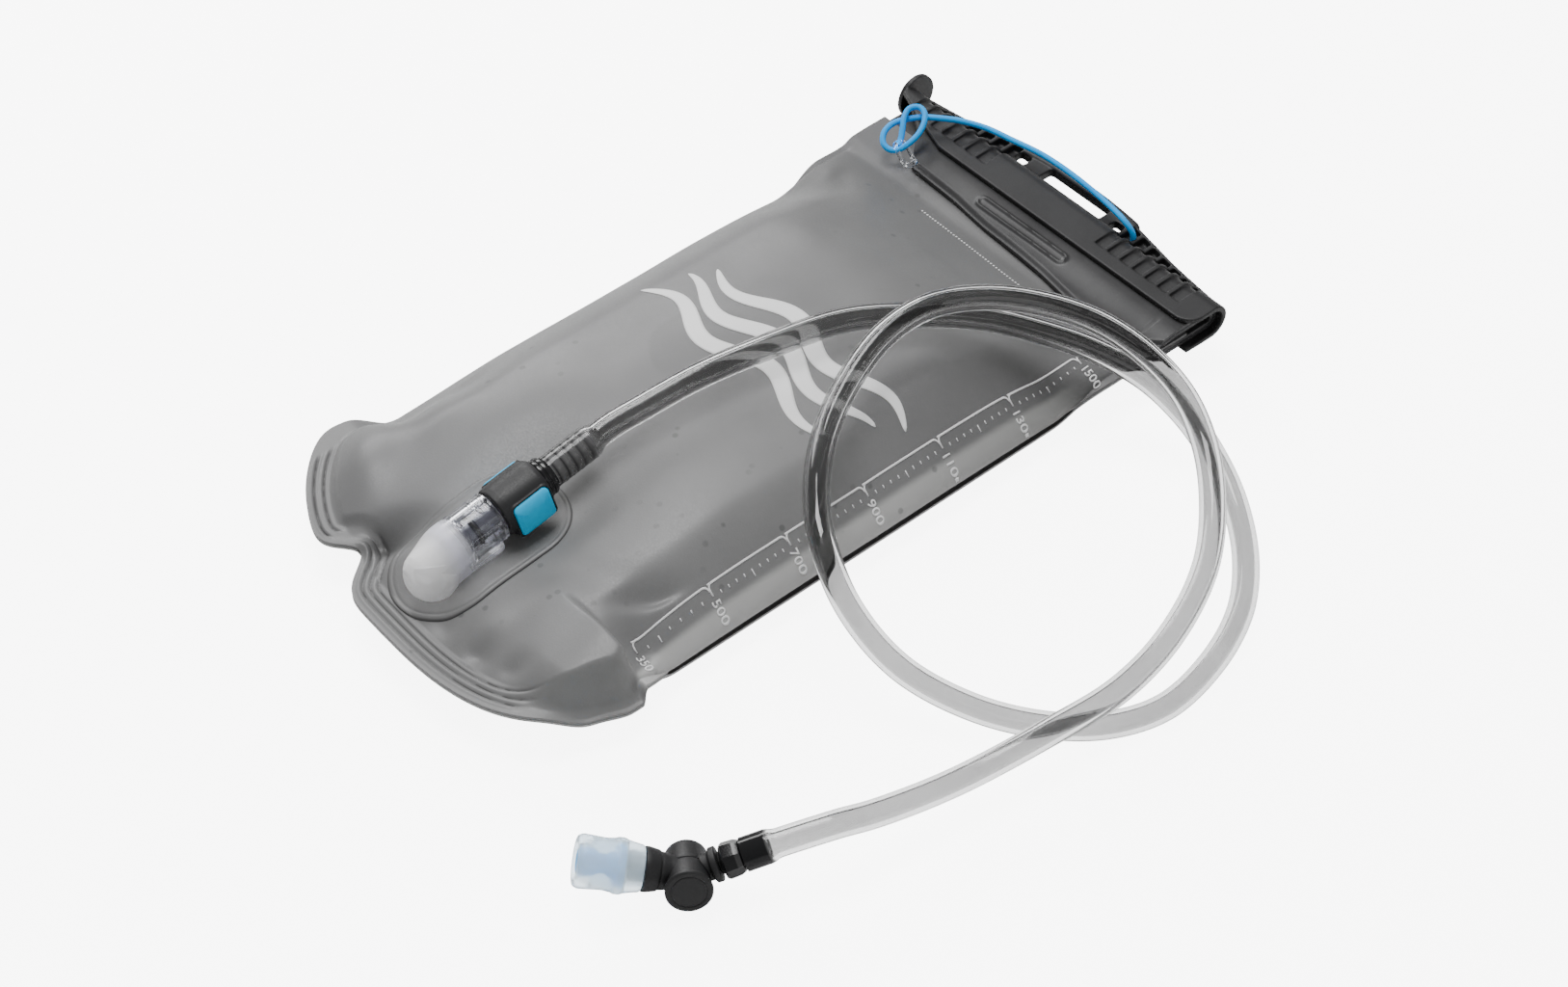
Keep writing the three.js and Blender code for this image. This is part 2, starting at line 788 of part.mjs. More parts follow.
function valveBarb() {
  const v = VALVE;
  return alongHoseArm(
    turnedRing([
      [1.6, 7.9],
      [2.6, 7.9],
      [2.6, v.barbStart],
      [4.4, v.barbStart],
      [4.4, v.barbStart + 1.1],
      [3.1, v.barbStart + 1.3],
      ...barbs(v.barbStart + 2, v.barbEnd - 0.4, 4, 3.1, 4.1),
      [2.7, v.barbEnd],
      [1.6, v.barbEnd],
    ]),
  );
}

function mouthArm() {
  const v = VALVE;
  const shoulder = v.sheathStart - GAP;
  const arm = alongMouthArm(
    turned([[0, 0], [5.8, 0], [5.8, 6], [7.5, shoulder], [4.5, shoulder], [4.5, 20.5], [0, 20.5]]),
  );
  const other = rod(v.hubRadius + GAP, v.hubBack - 1, GAP / 2);
  const coreBore = rod(v.coreRadius + GAP, v.hubBack - 1, v.hubFront + 1);
  const waterway = alongMouthArm(rod(2.2, 3, 22, 16));
  const shape = solid(rod(v.hubRadius, GAP / 2, v.hubFront))
    .add(solid(arm))
    .subtract(solid(other))
    .subtract(solid(coreBore))
    .subtract(solid(waterway));
  return geometryOf(shape);
}

function biteSeat() {
  return alongMouthArm(
    turned([
      [0, 21.3],
      [7.4, 21.3],
      [7.4, 23.2],
      [4.6, 24],
      [2.4, 27],
      [2.6, 30],
      [4.6, 31.4],
      [4.6, 33],
      [0, 33],
    ]),
  );
}

function biteSheath() {
  const v = VALVE;
  return alongMouthArm(
    turnedRing([
      [4.8, v.sheathStart],
      [7.7, v.sheathStart],
      [8.2, 18],
      [9.1, 21.5],
      [9.2, 24],
      [8.6, 27.5],
      [8.9, 32],
      [9.0, 35.5],
      [8.2, v.sheathEnd],
      [5.2, v.sheathEnd],
      [5.2, 34],
      [7.4, 31],
      [7.7, 21],
      [4.8, 20.8],
    ]),
  );
}

// ---------------------------------------------------------------- the hose

/** The hose's route, from the connector's barb over the bag, round its loop, to the bite valve. */
function hoseRoute() {
  const portEnd = (along) => new THREE.Vector3(0, along, 0).applyMatrix4(portMatrix);
  const valveEnd = (along) => VALVE.hub.clone().addScaledVector(valveBasis.hoseArm, along);
  const lying = [
    [5.3, -57, 48.2],
    [7.4, -34, 49.8],
    [11.4, -9, 50],
    [19.4, 27, 48.8],
    [34, 51, 47],
    [49, 68, 45.5],
    [64, 81, 42],
    [80, 94, 36],
    [98, 105, 26],
    [117, 111, 14],
    [136, 107, 7.5],
    [153, 98, 5.1],
    [172, 82, 5],
    [187, 63, 5],
    [197, 38, 5],
    [200, 12, 5],
    [193, -8, 5],
    [179, -25, 6],
    [160, -41, 11],
    [137, -52, 20],
    [113, -57, 34],
    [93, -49, 44],
    [75, -36, 47.5],
    [59, -18, 49.5],
    [48, 2, 53],
    [41, 26, 57.5],
    [42, 47, 59.5],
    [51, 66, 58.5],
    [64, 83, 54],
    [80, 96, 48],
    [97, 104, 39.5],
    [114, 106, 31],
    [130, 101, 24],
    [147, 89, 18.5],
    [168, 65, 14.5],
    [183, 33, 14],
    [190, 0, 15.2],
    [188, -32, 15.4],
    [181, -68, 12.5],
    [174, -98, 13],
  ].map((point) => new THREE.Vector3(...point));
  return [
    portEnd(CONNECTOR.barbEnd + GAP),
    portEnd(CONNECTOR.barbEnd + 9),
    ...lying,
    valveEnd(VALVE.barbEnd + 8),
    valveEnd(VALVE.barbEnd + GAP),
  ];
}

// ---------------------------------------------------------------- assembly

const bladder = new THREE.Group();
const inlet = inletHole();

bladder.add(
  piece('front_panel', geometryOf(solid(bagPanel(frontHeight, 16, 20)).subtract(inlet)), 'film'),
  piece('back_panel', bagPanel(backHeight, 14, 14), 'film'),
  piece('mouth_strip_front', mouthStrip(MOUTH.frontRadius), 'strip'),
  piece('mouth_strip_back', mouthStrip(MOUTH.backRadius), 'strip'),
  piece('tether_tab', tetherTab(), 'clear'),
  piece('tether', tether(), 'bluePlastic'),
  piece(
    'port_patch',
    geometryOf(solid(patchSheet(PATCH.lift, PATCH.thickness)).subtract(inlet)),
    'film',
  ),
  piece('slider', slider(), 'blackPlastic'),
  piece('hose', cord(hoseRoute(), HOSE.radius, HOSE.sides, HOSE.steps), 'hose'),
);

const port = new THREE.Group();
port.position.copy(PORT.nose);
port.rotation.x = degrees(PORT.tiltDeg);
port.add(
  piece('port_housing', portHousing(), 'clear'),
  piece('port_seat', turnedRing([[3.3, 16.3], [6.6, 16.3], [6.6, 18.6], [3.3, 18.6]]), 'frosted'),
  piece('poppet', poppet(), 'frosted'),
  piece('poppet_seal', turnedRing([[3, 13.2], [4.8, 13.2], [4.8, 14.2], [3, 14.2]]), 'rubber'),
  piece('poppet_spring', poppetSpring(), 'steel'),
  piece('connector_stem', connectorStem(), 'blackPlastic'),
  piece('front_oring', oring(5.35, 0.75, CONNECTOR.orings[0]), 'rubber'),
  piece('rear_oring', oring(5.35, 0.75, CONNECTOR.orings[1]), 'rubber'),
  piece('connector_shell', connectorShell(), 'blackPlastic'),
  piece('button_right', button(1), 'bluePlastic'),
  piece('button_left', button(-1), 'bluePlastic'),
  piece(
    'end_collar',
    turnedRing([
      [CONNECTOR.coreRadius + GAP, CONNECTOR.shellEnd + GAP],
      [CONNECTOR.collarRadius, CONNECTOR.shellEnd + GAP],
      [CONNECTOR.collarRadius, CONNECTOR.collarEnd - 0.8],
      [CONNECTOR.collarRadius - 0.8, CONNECTOR.collarEnd],
      [CONNECTOR.coreRadius + GAP, CONNECTOR.collarEnd],
    ]),
    'blackPlastic',
  ),
);
bladder.add(port);

const valve = new THREE.Group();
valve.position.copy(VALVE.hub);
valve.quaternion.setFromRotationMatrix(valveBasis.matrix);
valve.add(
  piece('valve_barb', valveBarb(), 'blackPlastic'),
  piece('swivel_oring', alongHoseArm(oring(3.5, 0.4, VALVE.flangeEnd + 0.65)), 'rubber'),
  piece('valve_elbow', valveElbow(), 'blackPlastic'),
  piece('mouth_arm', mouthArm(), 'blackPlastic'),
  piece('shutoff_core', rod(VALVE.coreRadius, VALVE.hubBack + 2.5, VALVE.hubFront - GAP), 'frosted'),
  piece(
    'hub_cap',
    turned([
      [0, VALVE.hubFront + GAP],
      [VALVE.capRadius, VALVE.hubFront + GAP],
      [VALVE.capRadius, VALVE.capEnd - 0.4],
      [VALVE.capRadius - 0.6, VALVE.capEnd],
      [0, VALVE.capEnd],
    ]),
    'blackPlastic',
  ),
  piece('bite_seat', biteSeat(), 'bluePlastic'),
  piece('bite_sheath', biteSheath(), 'silicone'),
);
bladder.add(valve);

export default bladder;
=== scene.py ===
"""Looks of a hydration bladder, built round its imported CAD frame.

Metres, in the row frame: +X along the closure, +Y along the bag towards the closure, +Z up.
Dimensions are named in millimetres, as the CAD source has them, and turned to metres by MM.
"""

import math

import bmesh
import bpy
import numpy as np
from mathutils import Matrix, Vector, noise
from mathutils.bvhtree import BVHTree


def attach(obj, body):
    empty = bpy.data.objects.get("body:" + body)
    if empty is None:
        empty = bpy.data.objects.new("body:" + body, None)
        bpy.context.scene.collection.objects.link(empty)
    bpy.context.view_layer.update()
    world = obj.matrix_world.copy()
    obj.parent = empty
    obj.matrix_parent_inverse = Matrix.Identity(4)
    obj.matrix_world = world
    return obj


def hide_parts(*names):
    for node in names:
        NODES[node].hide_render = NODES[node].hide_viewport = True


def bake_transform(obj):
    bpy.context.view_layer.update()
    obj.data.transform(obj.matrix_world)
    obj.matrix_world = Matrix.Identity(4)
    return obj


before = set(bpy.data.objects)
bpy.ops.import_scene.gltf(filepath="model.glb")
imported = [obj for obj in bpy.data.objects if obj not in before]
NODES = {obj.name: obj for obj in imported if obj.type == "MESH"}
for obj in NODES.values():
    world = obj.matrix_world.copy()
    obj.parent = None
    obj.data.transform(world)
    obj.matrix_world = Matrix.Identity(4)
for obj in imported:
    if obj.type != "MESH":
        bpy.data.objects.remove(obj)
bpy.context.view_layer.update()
MM = 0.001

# ---------------------------------------------------------------- dimensions, in millimetres

HALF_WIDTH = 84
PILLOW_HALF_WIDTH = 80
CORNER_Y = -126
LEFT_BOTTOM_Y = -172.5
RIGHT_BOTTOM_Y = -174.0
STRIP_START_Y = 122
FILM_TOP_Y = 141  # the film runs on under the flap
BOTTOM_WELD = 12
FRONT_RIM_Z = 16.25
BACK_RIM_Z = 13.75
CROWN_Z = 40
FILM = 1.1
PUDDLE_X, PUDDLE_Y, PUDDLE_RADIUS = -11, -14, 20.5  # a ring of water under the film

FOLD_Y = 152
FOLD_Z = 18.2
PORT_NOSE = Vector((4, -159.5, 30.9))
PORT_TILT = math.radians(10)
PATCH_X, PATCH_RADIUS, PATCH_LOW, PATCH_HIGH = 1.6, 21.2, -163, -92
DOME_CENTRE = Vector((4, -149.8, 27.3))
BUTTON_CENTRE = (48.9, -0.6)  # along the port's axis and up from it
HUB = Vector((151, -158.3, 9.9))
HUB_AXIS = Vector((0.77668, -0.56223, 0.28402))
HOSE_ARM = Vector((0.48378, 0.82120, 0.30265))
MOUTH_ARM_ANGLE = math.radians(148)
HOSE_RADIUS = 4.9
HOSE_BORE = 3.2
CORD_RADIUS = 1.2

HOSE_LYING = [
    (5.3, -57, 48.2), (7.4, -34, 49.8), (11.4, -9, 50), (19.4, 27, 48.8), (34, 51, 47),
    (49, 68, 45.5), (64, 81, 42), (80, 94, 36), (98, 105, 27), (117, 109, 17),
    (136, 106, 9), (153, 97.5, 5.7), (172, 82, 5), (187, 63, 5), (197, 38, 5),
    (200, 12, 5), (193, -8, 5), (179, -25, 6), (160, -41, 11), (137, -53, 20.5),
    (114, -55.5, 33), (93, -49, 44), (75, -36, 47.5), (59, -18, 49.5), (48, 2, 53),
    (41, 26, 57.5), (42, 47, 59.5), (51, 66, 58.5), (64, 83, 54), (80, 96, 48),
    (97, 104, 39.5), (114, 106, 31), (130, 101, 24), (147, 89, 18.5), (168, 65, 14.5),
    (183, 33, 14), (190, 0, 15.2), (188, -32, 15.4), (182, -69, 13.6), (177, -99, 17.5),
    (173.4, -114, 20.4),
]  # fmt: skip

TETHER = [
    (35, 161.8, 18.8), (34.6, 161.7, 22.4), (31.2, 161.0, 26.2), (20.2, 161.9, 28),
    (1.3, 162.6, 29.3), (-15.7, 161.8, 29.8), (-30.2, 158.8, 30), (-42, 156.2, 30),
    (-51.2, 151.6, 30.2), (-58, 146.4, 30.2), (-63.2, 141.7, 30), (-66.6, 135.7, 30),
    (-68.4, 130.3, 29.5), (-67.6, 125.2, 28), (-64.4, 122.4, 26), (-60.9, 123.1, 24.9),
    (-58.4, 126.0, 25.6), (-57.0, 129.4, 27.6), (-56.8, 133.6, 29.6), (-58.4, 138.0, 31.6),
    (-61.6, 141.4, 33.2), (-65.4, 141.8, 33.8), (-67.4, 138.6, 33.5), (-66.0, 134.6, 32.2),
    (-63.4, 131.4, 30), (-61.2, 128.6, 27.6), (-59.8, 126.0, 26.2),
]  # fmt: skip


# ---------------------------------------------------------------- camera, light and floor


def aimed(obj, place, target):
    """Places a camera or a lamp, points it at the target and adds it to the scene."""
    obj.location = place
    obj.rotation_mode = "QUATERNION"
    obj.rotation_quaternion = (Vector(target) - Vector(place)).to_track_quat("-Z", "Y")
    bpy.context.scene.collection.objects.link(obj)
    return obj


def make_camera():
    azimuth, elevation, distance = math.radians(49), math.radians(46), 1.2
    target = Vector((0.035, -0.016, 0))
    level = math.cos(elevation)
    back = Vector((math.sin(azimuth) * level, -math.cos(azimuth) * level, math.sin(elevation)))
    data = bpy.data.cameras.new("camera")
    data.lens, data.sensor_width = 75.67, 36
    camera = bpy.data.objects.new("camera", data)
    bpy.context.scene.camera = aimed(camera, target + back * distance, target)


def make_softbox(name, place, target, width, height, watts):
    data = bpy.data.lights.new(name, "AREA")
    data.shape, data.size, data.size_y, data.energy = "RECTANGLE", width, height, watts
    aimed(bpy.data.objects.new(name, data), place, target)


def make_studio():
    """Soft light from above, the rear left and, weaker, the front right, over a glowing floor."""
    world = bpy.data.worlds.new("studio")
    world.use_nodes = True
    background = world.node_tree.nodes["Background"]
    background.inputs["Color"].default_value = (1, 1, 1, 1)
    background.inputs["Strength"].default_value = 0.3
    bpy.context.scene.world = world
    make_softbox("overhead", (-0.35, 0.12, 1.4), (0.03, 0, 0), 0.75, 0.6, 19.5)
    make_softbox("rear_left", (-1.35, 0.45, 0.85), (0, 0, 0), 0.9, 0.5, 15)
    make_softbox("front_right", (1.3, -0.3, 0.8), (0.05, 0, 0), 0.8, 0.8, 1.8)
    floor_size, floor_glow = 8, 7
    bpy.ops.mesh.primitive_grid_add(x_subdivisions=8, y_subdivisions=8, size=floor_size)
    floor = bpy.context.object
    floor.name = "floor"
    paper = finish("floor_paper", (0.9, 0.9, 0.9), (0.94, 0.94, 0.94), 0.7)
    lit_from_below(paper, floor_glow)
    floor.data.materials.append(paper)


def lit_from_below(mat, strength):
    """Makes the floor look like a light table where it is seen, without lighting the object."""
    through_clear_pieces = 0.55
    tree = mat.node_tree
    path = add(tree, "ShaderNodeLightPath")
    through = calculated(tree, "MULTIPLY", path.outputs["Is Transmission Ray"], through_clear_pieces)
    seen = calculated(tree, "MAXIMUM", path.outputs["Is Camera Ray"], through)
    glow = add(tree, "ShaderNodeEmission")
    plug(tree, calculated(tree, "MULTIPLY", seen, strength), glow.inputs["Strength"])
    both = add(tree, "ShaderNodeAddShader")
    tree.links.new(tree.nodes["Principled BSDF"].outputs[0], both.inputs[0])
    tree.links.new(glow.outputs[0], both.inputs[1])
    tree.links.new(both.outputs[0], tree.nodes["Material Output"].inputs["Surface"])


# ---------------------------------------------------------------- materials

PALE_WELD = (0.62, 0.62, 0.61, 1)
# colour of the painted shade in the film, which also darkens the ring of water
DEEP_SHADE = (0.045, 0.045, 0.045, 1)
WATER_DROP = (0.04, 0.04, 0.04, 1)
BARB_BLACK = (0.014, 0.014, 0.015, 1)


def add(tree, kind, **values):
    """A new node; each value is a property of the node or one of its inputs."""
    node = tree.nodes.new(kind)
    for name, value in values.items():
        if hasattr(node, name):
            setattr(node, name, value)
        else:
            node.inputs[name.replace("_", " ")].default_value = value
    return node


def plug(tree, value, socket):
    """Gives a socket its value, which is another node's output or a constant."""
    if isinstance(value, bpy.types.NodeSocket):
        tree.links.new(value, socket)
    else:
        socket.default_value = value


def calculated(tree, operation, first, second):
    """Result of a math node; first and second are sockets or constants."""
    node = add(tree, "ShaderNodeMath", operation=operation)
    plug(tree, first, node.inputs[0])
    plug(tree, second, node.inputs[1])
    return node.outputs[0]


def noise_at(tree, scale, detail=3):
    """A noise texture fixed to the object's own coordinates, scale in cells per metre."""
    where = add(tree, "ShaderNodeTexCoord")
    cloud = add(tree, "ShaderNodeTexNoise", Scale=scale, Detail=detail)
    tree.links.new(where.outputs["Object"], cloud.inputs["Vector"])
    return cloud


def ramp(tree, source, low, high, first, second):
    """Colour that goes from first to second as source goes from low to high."""
    node = add(tree, "ShaderNodeValToRGB")
    node.color_ramp.elements[0].position = low
    node.color_ramp.elements[1].position = high
    node.color_ramp.elements[0].color = (*first, 1)
    node.color_ramp.elements[1].color = (*second, 1)
    tree.links.new(source, node.inputs["Fac"])
    return node.outputs["Color"]


def map_range(tree, source, low, high, to_low, to_high):
    """The source's range from low to high, stretched to the range from to_low to to_high."""
    node = add(tree, "ShaderNodeMapRange", From_Min=low, From_Max=high, To_Min=to_low, To_Max=to_high)
    tree.links.new(source, node.inputs["Value"])
    return node.outputs["Result"]


def mixed(tree, share, first, second):
    """Colour mix; share, first and second are sockets or constants."""
    node = add(tree, "ShaderNodeMix", data_type="RGBA")
    for value, number in ((share, 0), (first, 6), (second, 7)):
        plug(tree, value, node.inputs[number])
    return node.outputs[2]


def retinted(shader, share, colour):
    """Mixes a colour into the shader's own; share is a socket."""
    tree = shader.id_data
    tint = shader.inputs["Base Color"]
    tree.links.new(mixed(tree, share, tint.links[0].from_socket, colour), tint)


def finish(name, dark, light, roughness, tone=35, grain=2200, bump=0.0, depth=0.0001, **constants):
    """A procedural finish: the colour wanders between two tones, the roughness varies a little
    and a fine grain is bumped. The constants go on the shader's own sockets."""
    mat = bpy.data.materials.new(name)
    mat.use_nodes = True
    tree = mat.node_tree
    shader = tree.nodes["Principled BSDF"]
    cloud = noise_at(tree, tone)
    colour = ramp(tree, cloud.outputs["Fac"], 0.35, 0.65, dark, light)
    tree.links.new(colour, shader.inputs["Base Color"])
    fine = noise_at(tree, grain, 2)
    spread = 0.18 * roughness
    rough = map_range(tree, fine.outputs["Fac"], 0.3, 0.7, roughness - spread, roughness + spread)
    tree.links.new(rough, shader.inputs["Roughness"])
    if bump:
        relief = add(tree, "ShaderNodeBump", Strength=bump, Distance=depth)
        tree.links.new(fine.outputs["Fac"], relief.inputs["Height"])
        tree.links.new(relief.outputs["Normal"], shader.inputs["Normal"])
    for key, value in constants.items():
        shader.inputs[key.replace("_", " ")].default_value = value
    return mat


def see_through_for_lamps(mat, share):
    """Lets a share of the lamps' light pass straight through glass, as thin clear plastic does."""
    tree = mat.node_tree
    shader = tree.nodes["Principled BSDF"]
    output = tree.nodes["Material Output"]
    path = add(tree, "ShaderNodeLightPath")
    clear = add(tree, "ShaderNodeBsdfTransparent")
    blend = add(tree, "ShaderNodeMixShader")
    plug(tree, calculated(tree, "MULTIPLY", path.outputs["Is Shadow Ray"], share), blend.inputs[0])
    tree.links.new(shader.outputs[0], blend.inputs[1])
    tree.links.new(clear.outputs[0], blend.inputs[2])
    tree.links.new(blend.outputs[0], output.inputs["Surface"])
    return mat


def film_finish(name, dark, light, spots=True):
    """Smoky film: mottled grey, paler where only the weld is left, darker where shade is painted, with
    drops of water inside.
    """
    mat = finish(
        name, dark, light, 0.43, tone=14, grain=1500, bump=0.12, depth=0.00025,
        Sheen_Weight=0.12, Sheen_Roughness=0.5, Specular_IOR_Level=0.45,
    )  # fmt: skip
    tree = mat.node_tree
    shader = tree.nodes["Principled BSDF"]
    # weld paints the pale welded film; shade paints shade into the film's colour, and darkens the ring
    # of water
    for painted, colour in (("weld", PALE_WELD), ("shade", DEEP_SHADE)):
        share = add(tree, "ShaderNodeAttribute", attribute_name=painted)
        retinted(shader, share.outputs["Fac"], colour)
    if spots:
        where = add(tree, "ShaderNodeTexCoord")
        cells = add(tree, "ShaderNodeTexVoronoi", Scale=120, Randomness=1)
        tree.links.new(where.outputs["Object"], cells.inputs["Vector"])
        drop = map_range(tree, cells.outputs["Distance"], 0.10, 0.17, 1, 0)
        patchy = noise_at(tree, 22, 2)
        few = map_range(tree, patchy.outputs["Fac"], 0.53, 0.62, 0, 0.42)
        retinted(shader, calculated(tree, "MULTIPLY", drop, few), WATER_DROP)
    return mat


def darkened_grip(mat):
    """Where the hose is stretched over a black barb, the barb fills it from wall to wall."""
    tree = mat.node_tree
    shader = tree.nodes["Principled BSDF"]
    grip = add(tree, "ShaderNodeAttribute", attribute_name="grip")
    retinted(shader, grip.outputs["Fac"], BARB_BLACK)
    clear = map_range(tree, grip.outputs["Fac"], 0, 1, 1, 0.08)
    tree.links.new(clear, shader.inputs["Transmission Weight"])


def along_direction(tree, direction):
    """How far the shaded point lies along a direction, in metres from the port's nose."""
    where = add(tree, "ShaderNodeTexCoord")
    node = add(tree, "ShaderNodeVectorMath", operation="DOT_PRODUCT")
    node.inputs[1].default_value = direction
    tree.links.new(where.outputs["Object"], node.inputs[0])
    return calculated(tree, "SUBTRACT", node.outputs["Value"], PORT_NOSE.dot(direction) * MM)


def frosted_nose(mat):
    """Turns the end of the port housing milky, and leaves it clear over the connector's stem."""
    tree = mat.node_tree
    shader = tree.nodes["Principled BSDF"]
    along = along_direction(tree, Vector((0, math.cos(PORT_TILT), math.sin(PORT_TILT))))
    up = along_direction(tree, Vector((0, -math.sin(PORT_TILT), math.cos(PORT_TILT))))
    foot = map_range(tree, up, -8.8 * MM, -6 * MM, 0.75, 0)
    nose = map_range(tree, along, 18.5 * MM, 23.5 * MM, 1, 0)
    milky = calculated(tree, "MAXIMUM", foot, nose)
    cloudy = map_range(tree, milky, 0, 1, 0.06, 0.38)
    open_share = map_range(tree, milky, 0, 1, 1, 0.34)
    inside = map_range(tree, along, 11 * MM, 17 * MM, 0, 0.8)
    milk = mixed(tree, inside, (1, 1, 1, 1), (0.72, 0.72, 0.82, 1))
    retinted(shader, milky, milk)
    tree.links.new(cloudy, shader.inputs["Roughness"])
    tree.links.new(open_share, shader.inputs["Transmission Weight"])
    return mat


def make_materials():
    black = dict(tone=60, bump=0.25, depth=0.00008, Specular_IOR_Level=0.4)
    blue = dict(tone=50, bump=0.1, depth=0.00005, Specular_IOR_Level=0.12)
    clear = dict(Transmission_Weight=1.0, IOR=1.45, grain=300, bump=0.03, depth=0.0001)
    hose = finish(
        "smoky_hose", (0.40, 0.40, 0.40), (0.44, 0.44, 0.44), 0.06, tone=20, grain=60,
        Transmission_Weight=1.0, IOR=1.43, bump=0.01, depth=0.0002, Specular_IOR_Level=0.3,
    )  # fmt: skip
    darkened_grip(hose)
    housing = frosted_nose(
        finish("clear_housing", (0.88, 0.9, 0.96), (0.95, 0.96, 1), 0.06, tone=60, **clear)
    )
    link = finish("clear_link", (0.9, 0.93, 0.96), (0.97, 0.98, 1), 0.12, tone=80, **clear)
    silicone = finish(
        "milky_silicone", (0.8, 0.92, 1), (0.88, 0.96, 1), 0.22, tone=60,
        Transmission_Weight=0.6, IOR=1.3, grain=200, bump=0.01, depth=0.0001,
    )  # fmt: skip
    return {
        "film": film_finish("smoky_film", (0.157, 0.157, 0.159), (0.198, 0.198, 0.199)),
        "back_film": film_finish("smoky_back_film", (0.2, 0.2, 0.2), (0.27, 0.27, 0.27), False),
        "patch": film_finish("patch_film", (0.15, 0.15, 0.15), (0.18, 0.18, 0.181), False),
        "strip": finish("black_strip", (0.026, 0.026, 0.027), (0.038, 0.038, 0.039), 0.42, **black),
        "black": finish("black_plastic", (0.013, 0.013, 0.014), (0.019, 0.019, 0.02), 0.5, **black),
        "gloss": finish("glossy_black", (0.009, 0.009, 0.01), (0.015, 0.015, 0.016), 0.16, **black),
        "stem": finish("dark_stem", (0.048, 0.048, 0.06), (0.072, 0.072, 0.086), 0.22, **black),
        "button": finish("blue_plastic", (0.0, 0.54, 0.97), (0.003, 0.6, 1.0), 0.35, **blue),
        "cord": finish("blue_cord", (0.0, 0.36, 0.94), (0.0, 0.42, 1.0), 0.38, **blue),
        "seat": finish("blue_silicone", (0.0, 0.42, 0.95), (0.02, 0.52, 1.0), 0.4, **blue),
        "ink": finish("white_ink", (0.9, 0.9, 0.9), (0.96, 0.96, 0.96), 0.55, bump=0.1, depth=0.00003),
        "rubber": finish("seal_rubber", (0.012, 0.012, 0.012), (0.02, 0.02, 0.02), 0.5, **black),
        "steel": finish("spring_steel", (0.5, 0.5, 0.5), (0.6, 0.6, 0.6), 0.25, Metallic=1.0),
        "frosted": finish("frosted_plastic", (0.3, 0.31, 0.36), (0.38, 0.39, 0.45), 0.4, bump=0.1),
        "hose": see_through_for_lamps(hose, 0.75),
        "housing": see_through_for_lamps(housing, 0.85),
        "link": see_through_for_lamps(link, 0.85),
        "silicone": see_through_for_lamps(silicone, 0.6),
    }


# ---------------------------------------------------------------- mesh helpers


def mesh_object(name, points, faces, mat, sharp=40):
    """A mesh object from points in millimetres."""
    mesh = bpy.data.meshes.new(name)
    mesh.from_pydata((np.asarray(points, float) * MM).tolist(), [], faces)
    mesh.materials.append(mat)
    obj = bpy.data.objects.new(name, mesh)
    bpy.context.scene.collection.objects.link(obj)
    tidy_normals(obj, sharp)
    return obj


def tidy_normals(obj, sharp=40):
    """Turns all faces outwards and shades them smooth, except over edges sharper than an angle."""
    work = bmesh.new()
    work.from_mesh(obj.data)
    bmesh.ops.remove_doubles(work, verts=work.verts, dist=1e-7)
    bmesh.ops.recalc_face_normals(work, faces=work.faces)
    work.to_mesh(obj.data)
    work.free()
    obj.data.shade_smooth()
    obj.data.set_sharp_from_angle(angle=math.radians(sharp))


def apply_modifiers(obj):
    """Turns an object's modifiers into plain mesh."""
    graph = bpy.context.evaluated_depsgraph_get()
    mesh = bpy.data.meshes.new_from_object(obj.evaluated_get(graph))
    obj.modifiers.clear()
    obj.data = mesh


def carve(target, tool, operation="DIFFERENCE"):
    """Cuts tool out of target, or adds it with UNION, and removes tool."""
    modifier = target.modifiers.new("carve", "BOOLEAN")
    modifier.operation, modifier.object, modifier.solver = operation, tool, "MANIFOLD"
    apply_modifiers(target)
    bpy.data.objects.remove(tool)


def mould(obj, voxel, smoothing, keep):
    """Melts a blocked-out shape into one moulded piece with soft edges."""
    remesh = obj.modifiers.new("mould", "REMESH")
    remesh.mode, remesh.voxel_size = "VOXEL", voxel * MM
    soften = obj.modifiers.new("soften", "SMOOTH")
    soften.factor, soften.iterations = 0.5, smoothing
    thin = obj.modifiers.new("thin", "DECIMATE")
    thin.ratio = keep
    apply_modifiers(obj)
    obj.data.shade_smooth()


def softened(outline, radius, closed):
    """An outline whose corners are rounded."""
    steps = 4
    points = [Vector(p) for p in outline]
    count = len(points)
    result = []
    for k, point in enumerate(points):
        if not closed and k in (0, count - 1):
            result.append(point)
            continue
        before, after = points[k - 1], points[(k + 1) % count]
        first = before - point
        second = after - point
        cut = min(radius, 0.48 * first.length, 0.48 * second.length)
        start = point + first.normalized() * cut
        end = point + second.normalized() * cut
        for step in range(steps + 1):
            t = step / steps
            result.append(start * (1 - t) ** 2 + point * (2 * t * (1 - t)) + end * t**2)
    return result


def grid_faces(rows, columns, close_rows, close_columns):
    """Quads between the neighbours in rows of points; either way the grid may close on itself."""
    faces = []
    for row in range(rows if close_rows else rows - 1):
        here, there = row * columns, (row + 1) % rows * columns
        for column in range(columns if close_columns else columns - 1):
            following = (column + 1) % columns
            faces.append((here + column, here + following, there + following, there + column))
    return faces


def turned(name, profile, place, mat, radius=0.3, closed=False, sides=72):
    """A turned piece from [radius, distance] pairs about place's Y axis."""
    outline = softened(profile, radius, closed)
    points = []
    for k in range(sides):
        angle = 2 * math.pi * k / sides
        for across, along in outline:
            points.append(place @ Vector((across * math.cos(angle), along, across * math.sin(angle))))
    return mesh_object(name, points, grid_faces(sides, len(outline), True, closed), mat)


def lofted(name, rings, mat, sharp=40):
    """A closed body through rings of equal count, with its two ends capped."""
    count = len(rings[0])
    points = [p for ring in rings for p in ring]
    caps = [tuple(range(count)), tuple(range(len(points) - 1, len(points) - count - 1, -1))]
    return mesh_object(name, points, caps + grid_faces(len(rings), count, False, True), mat, sharp)


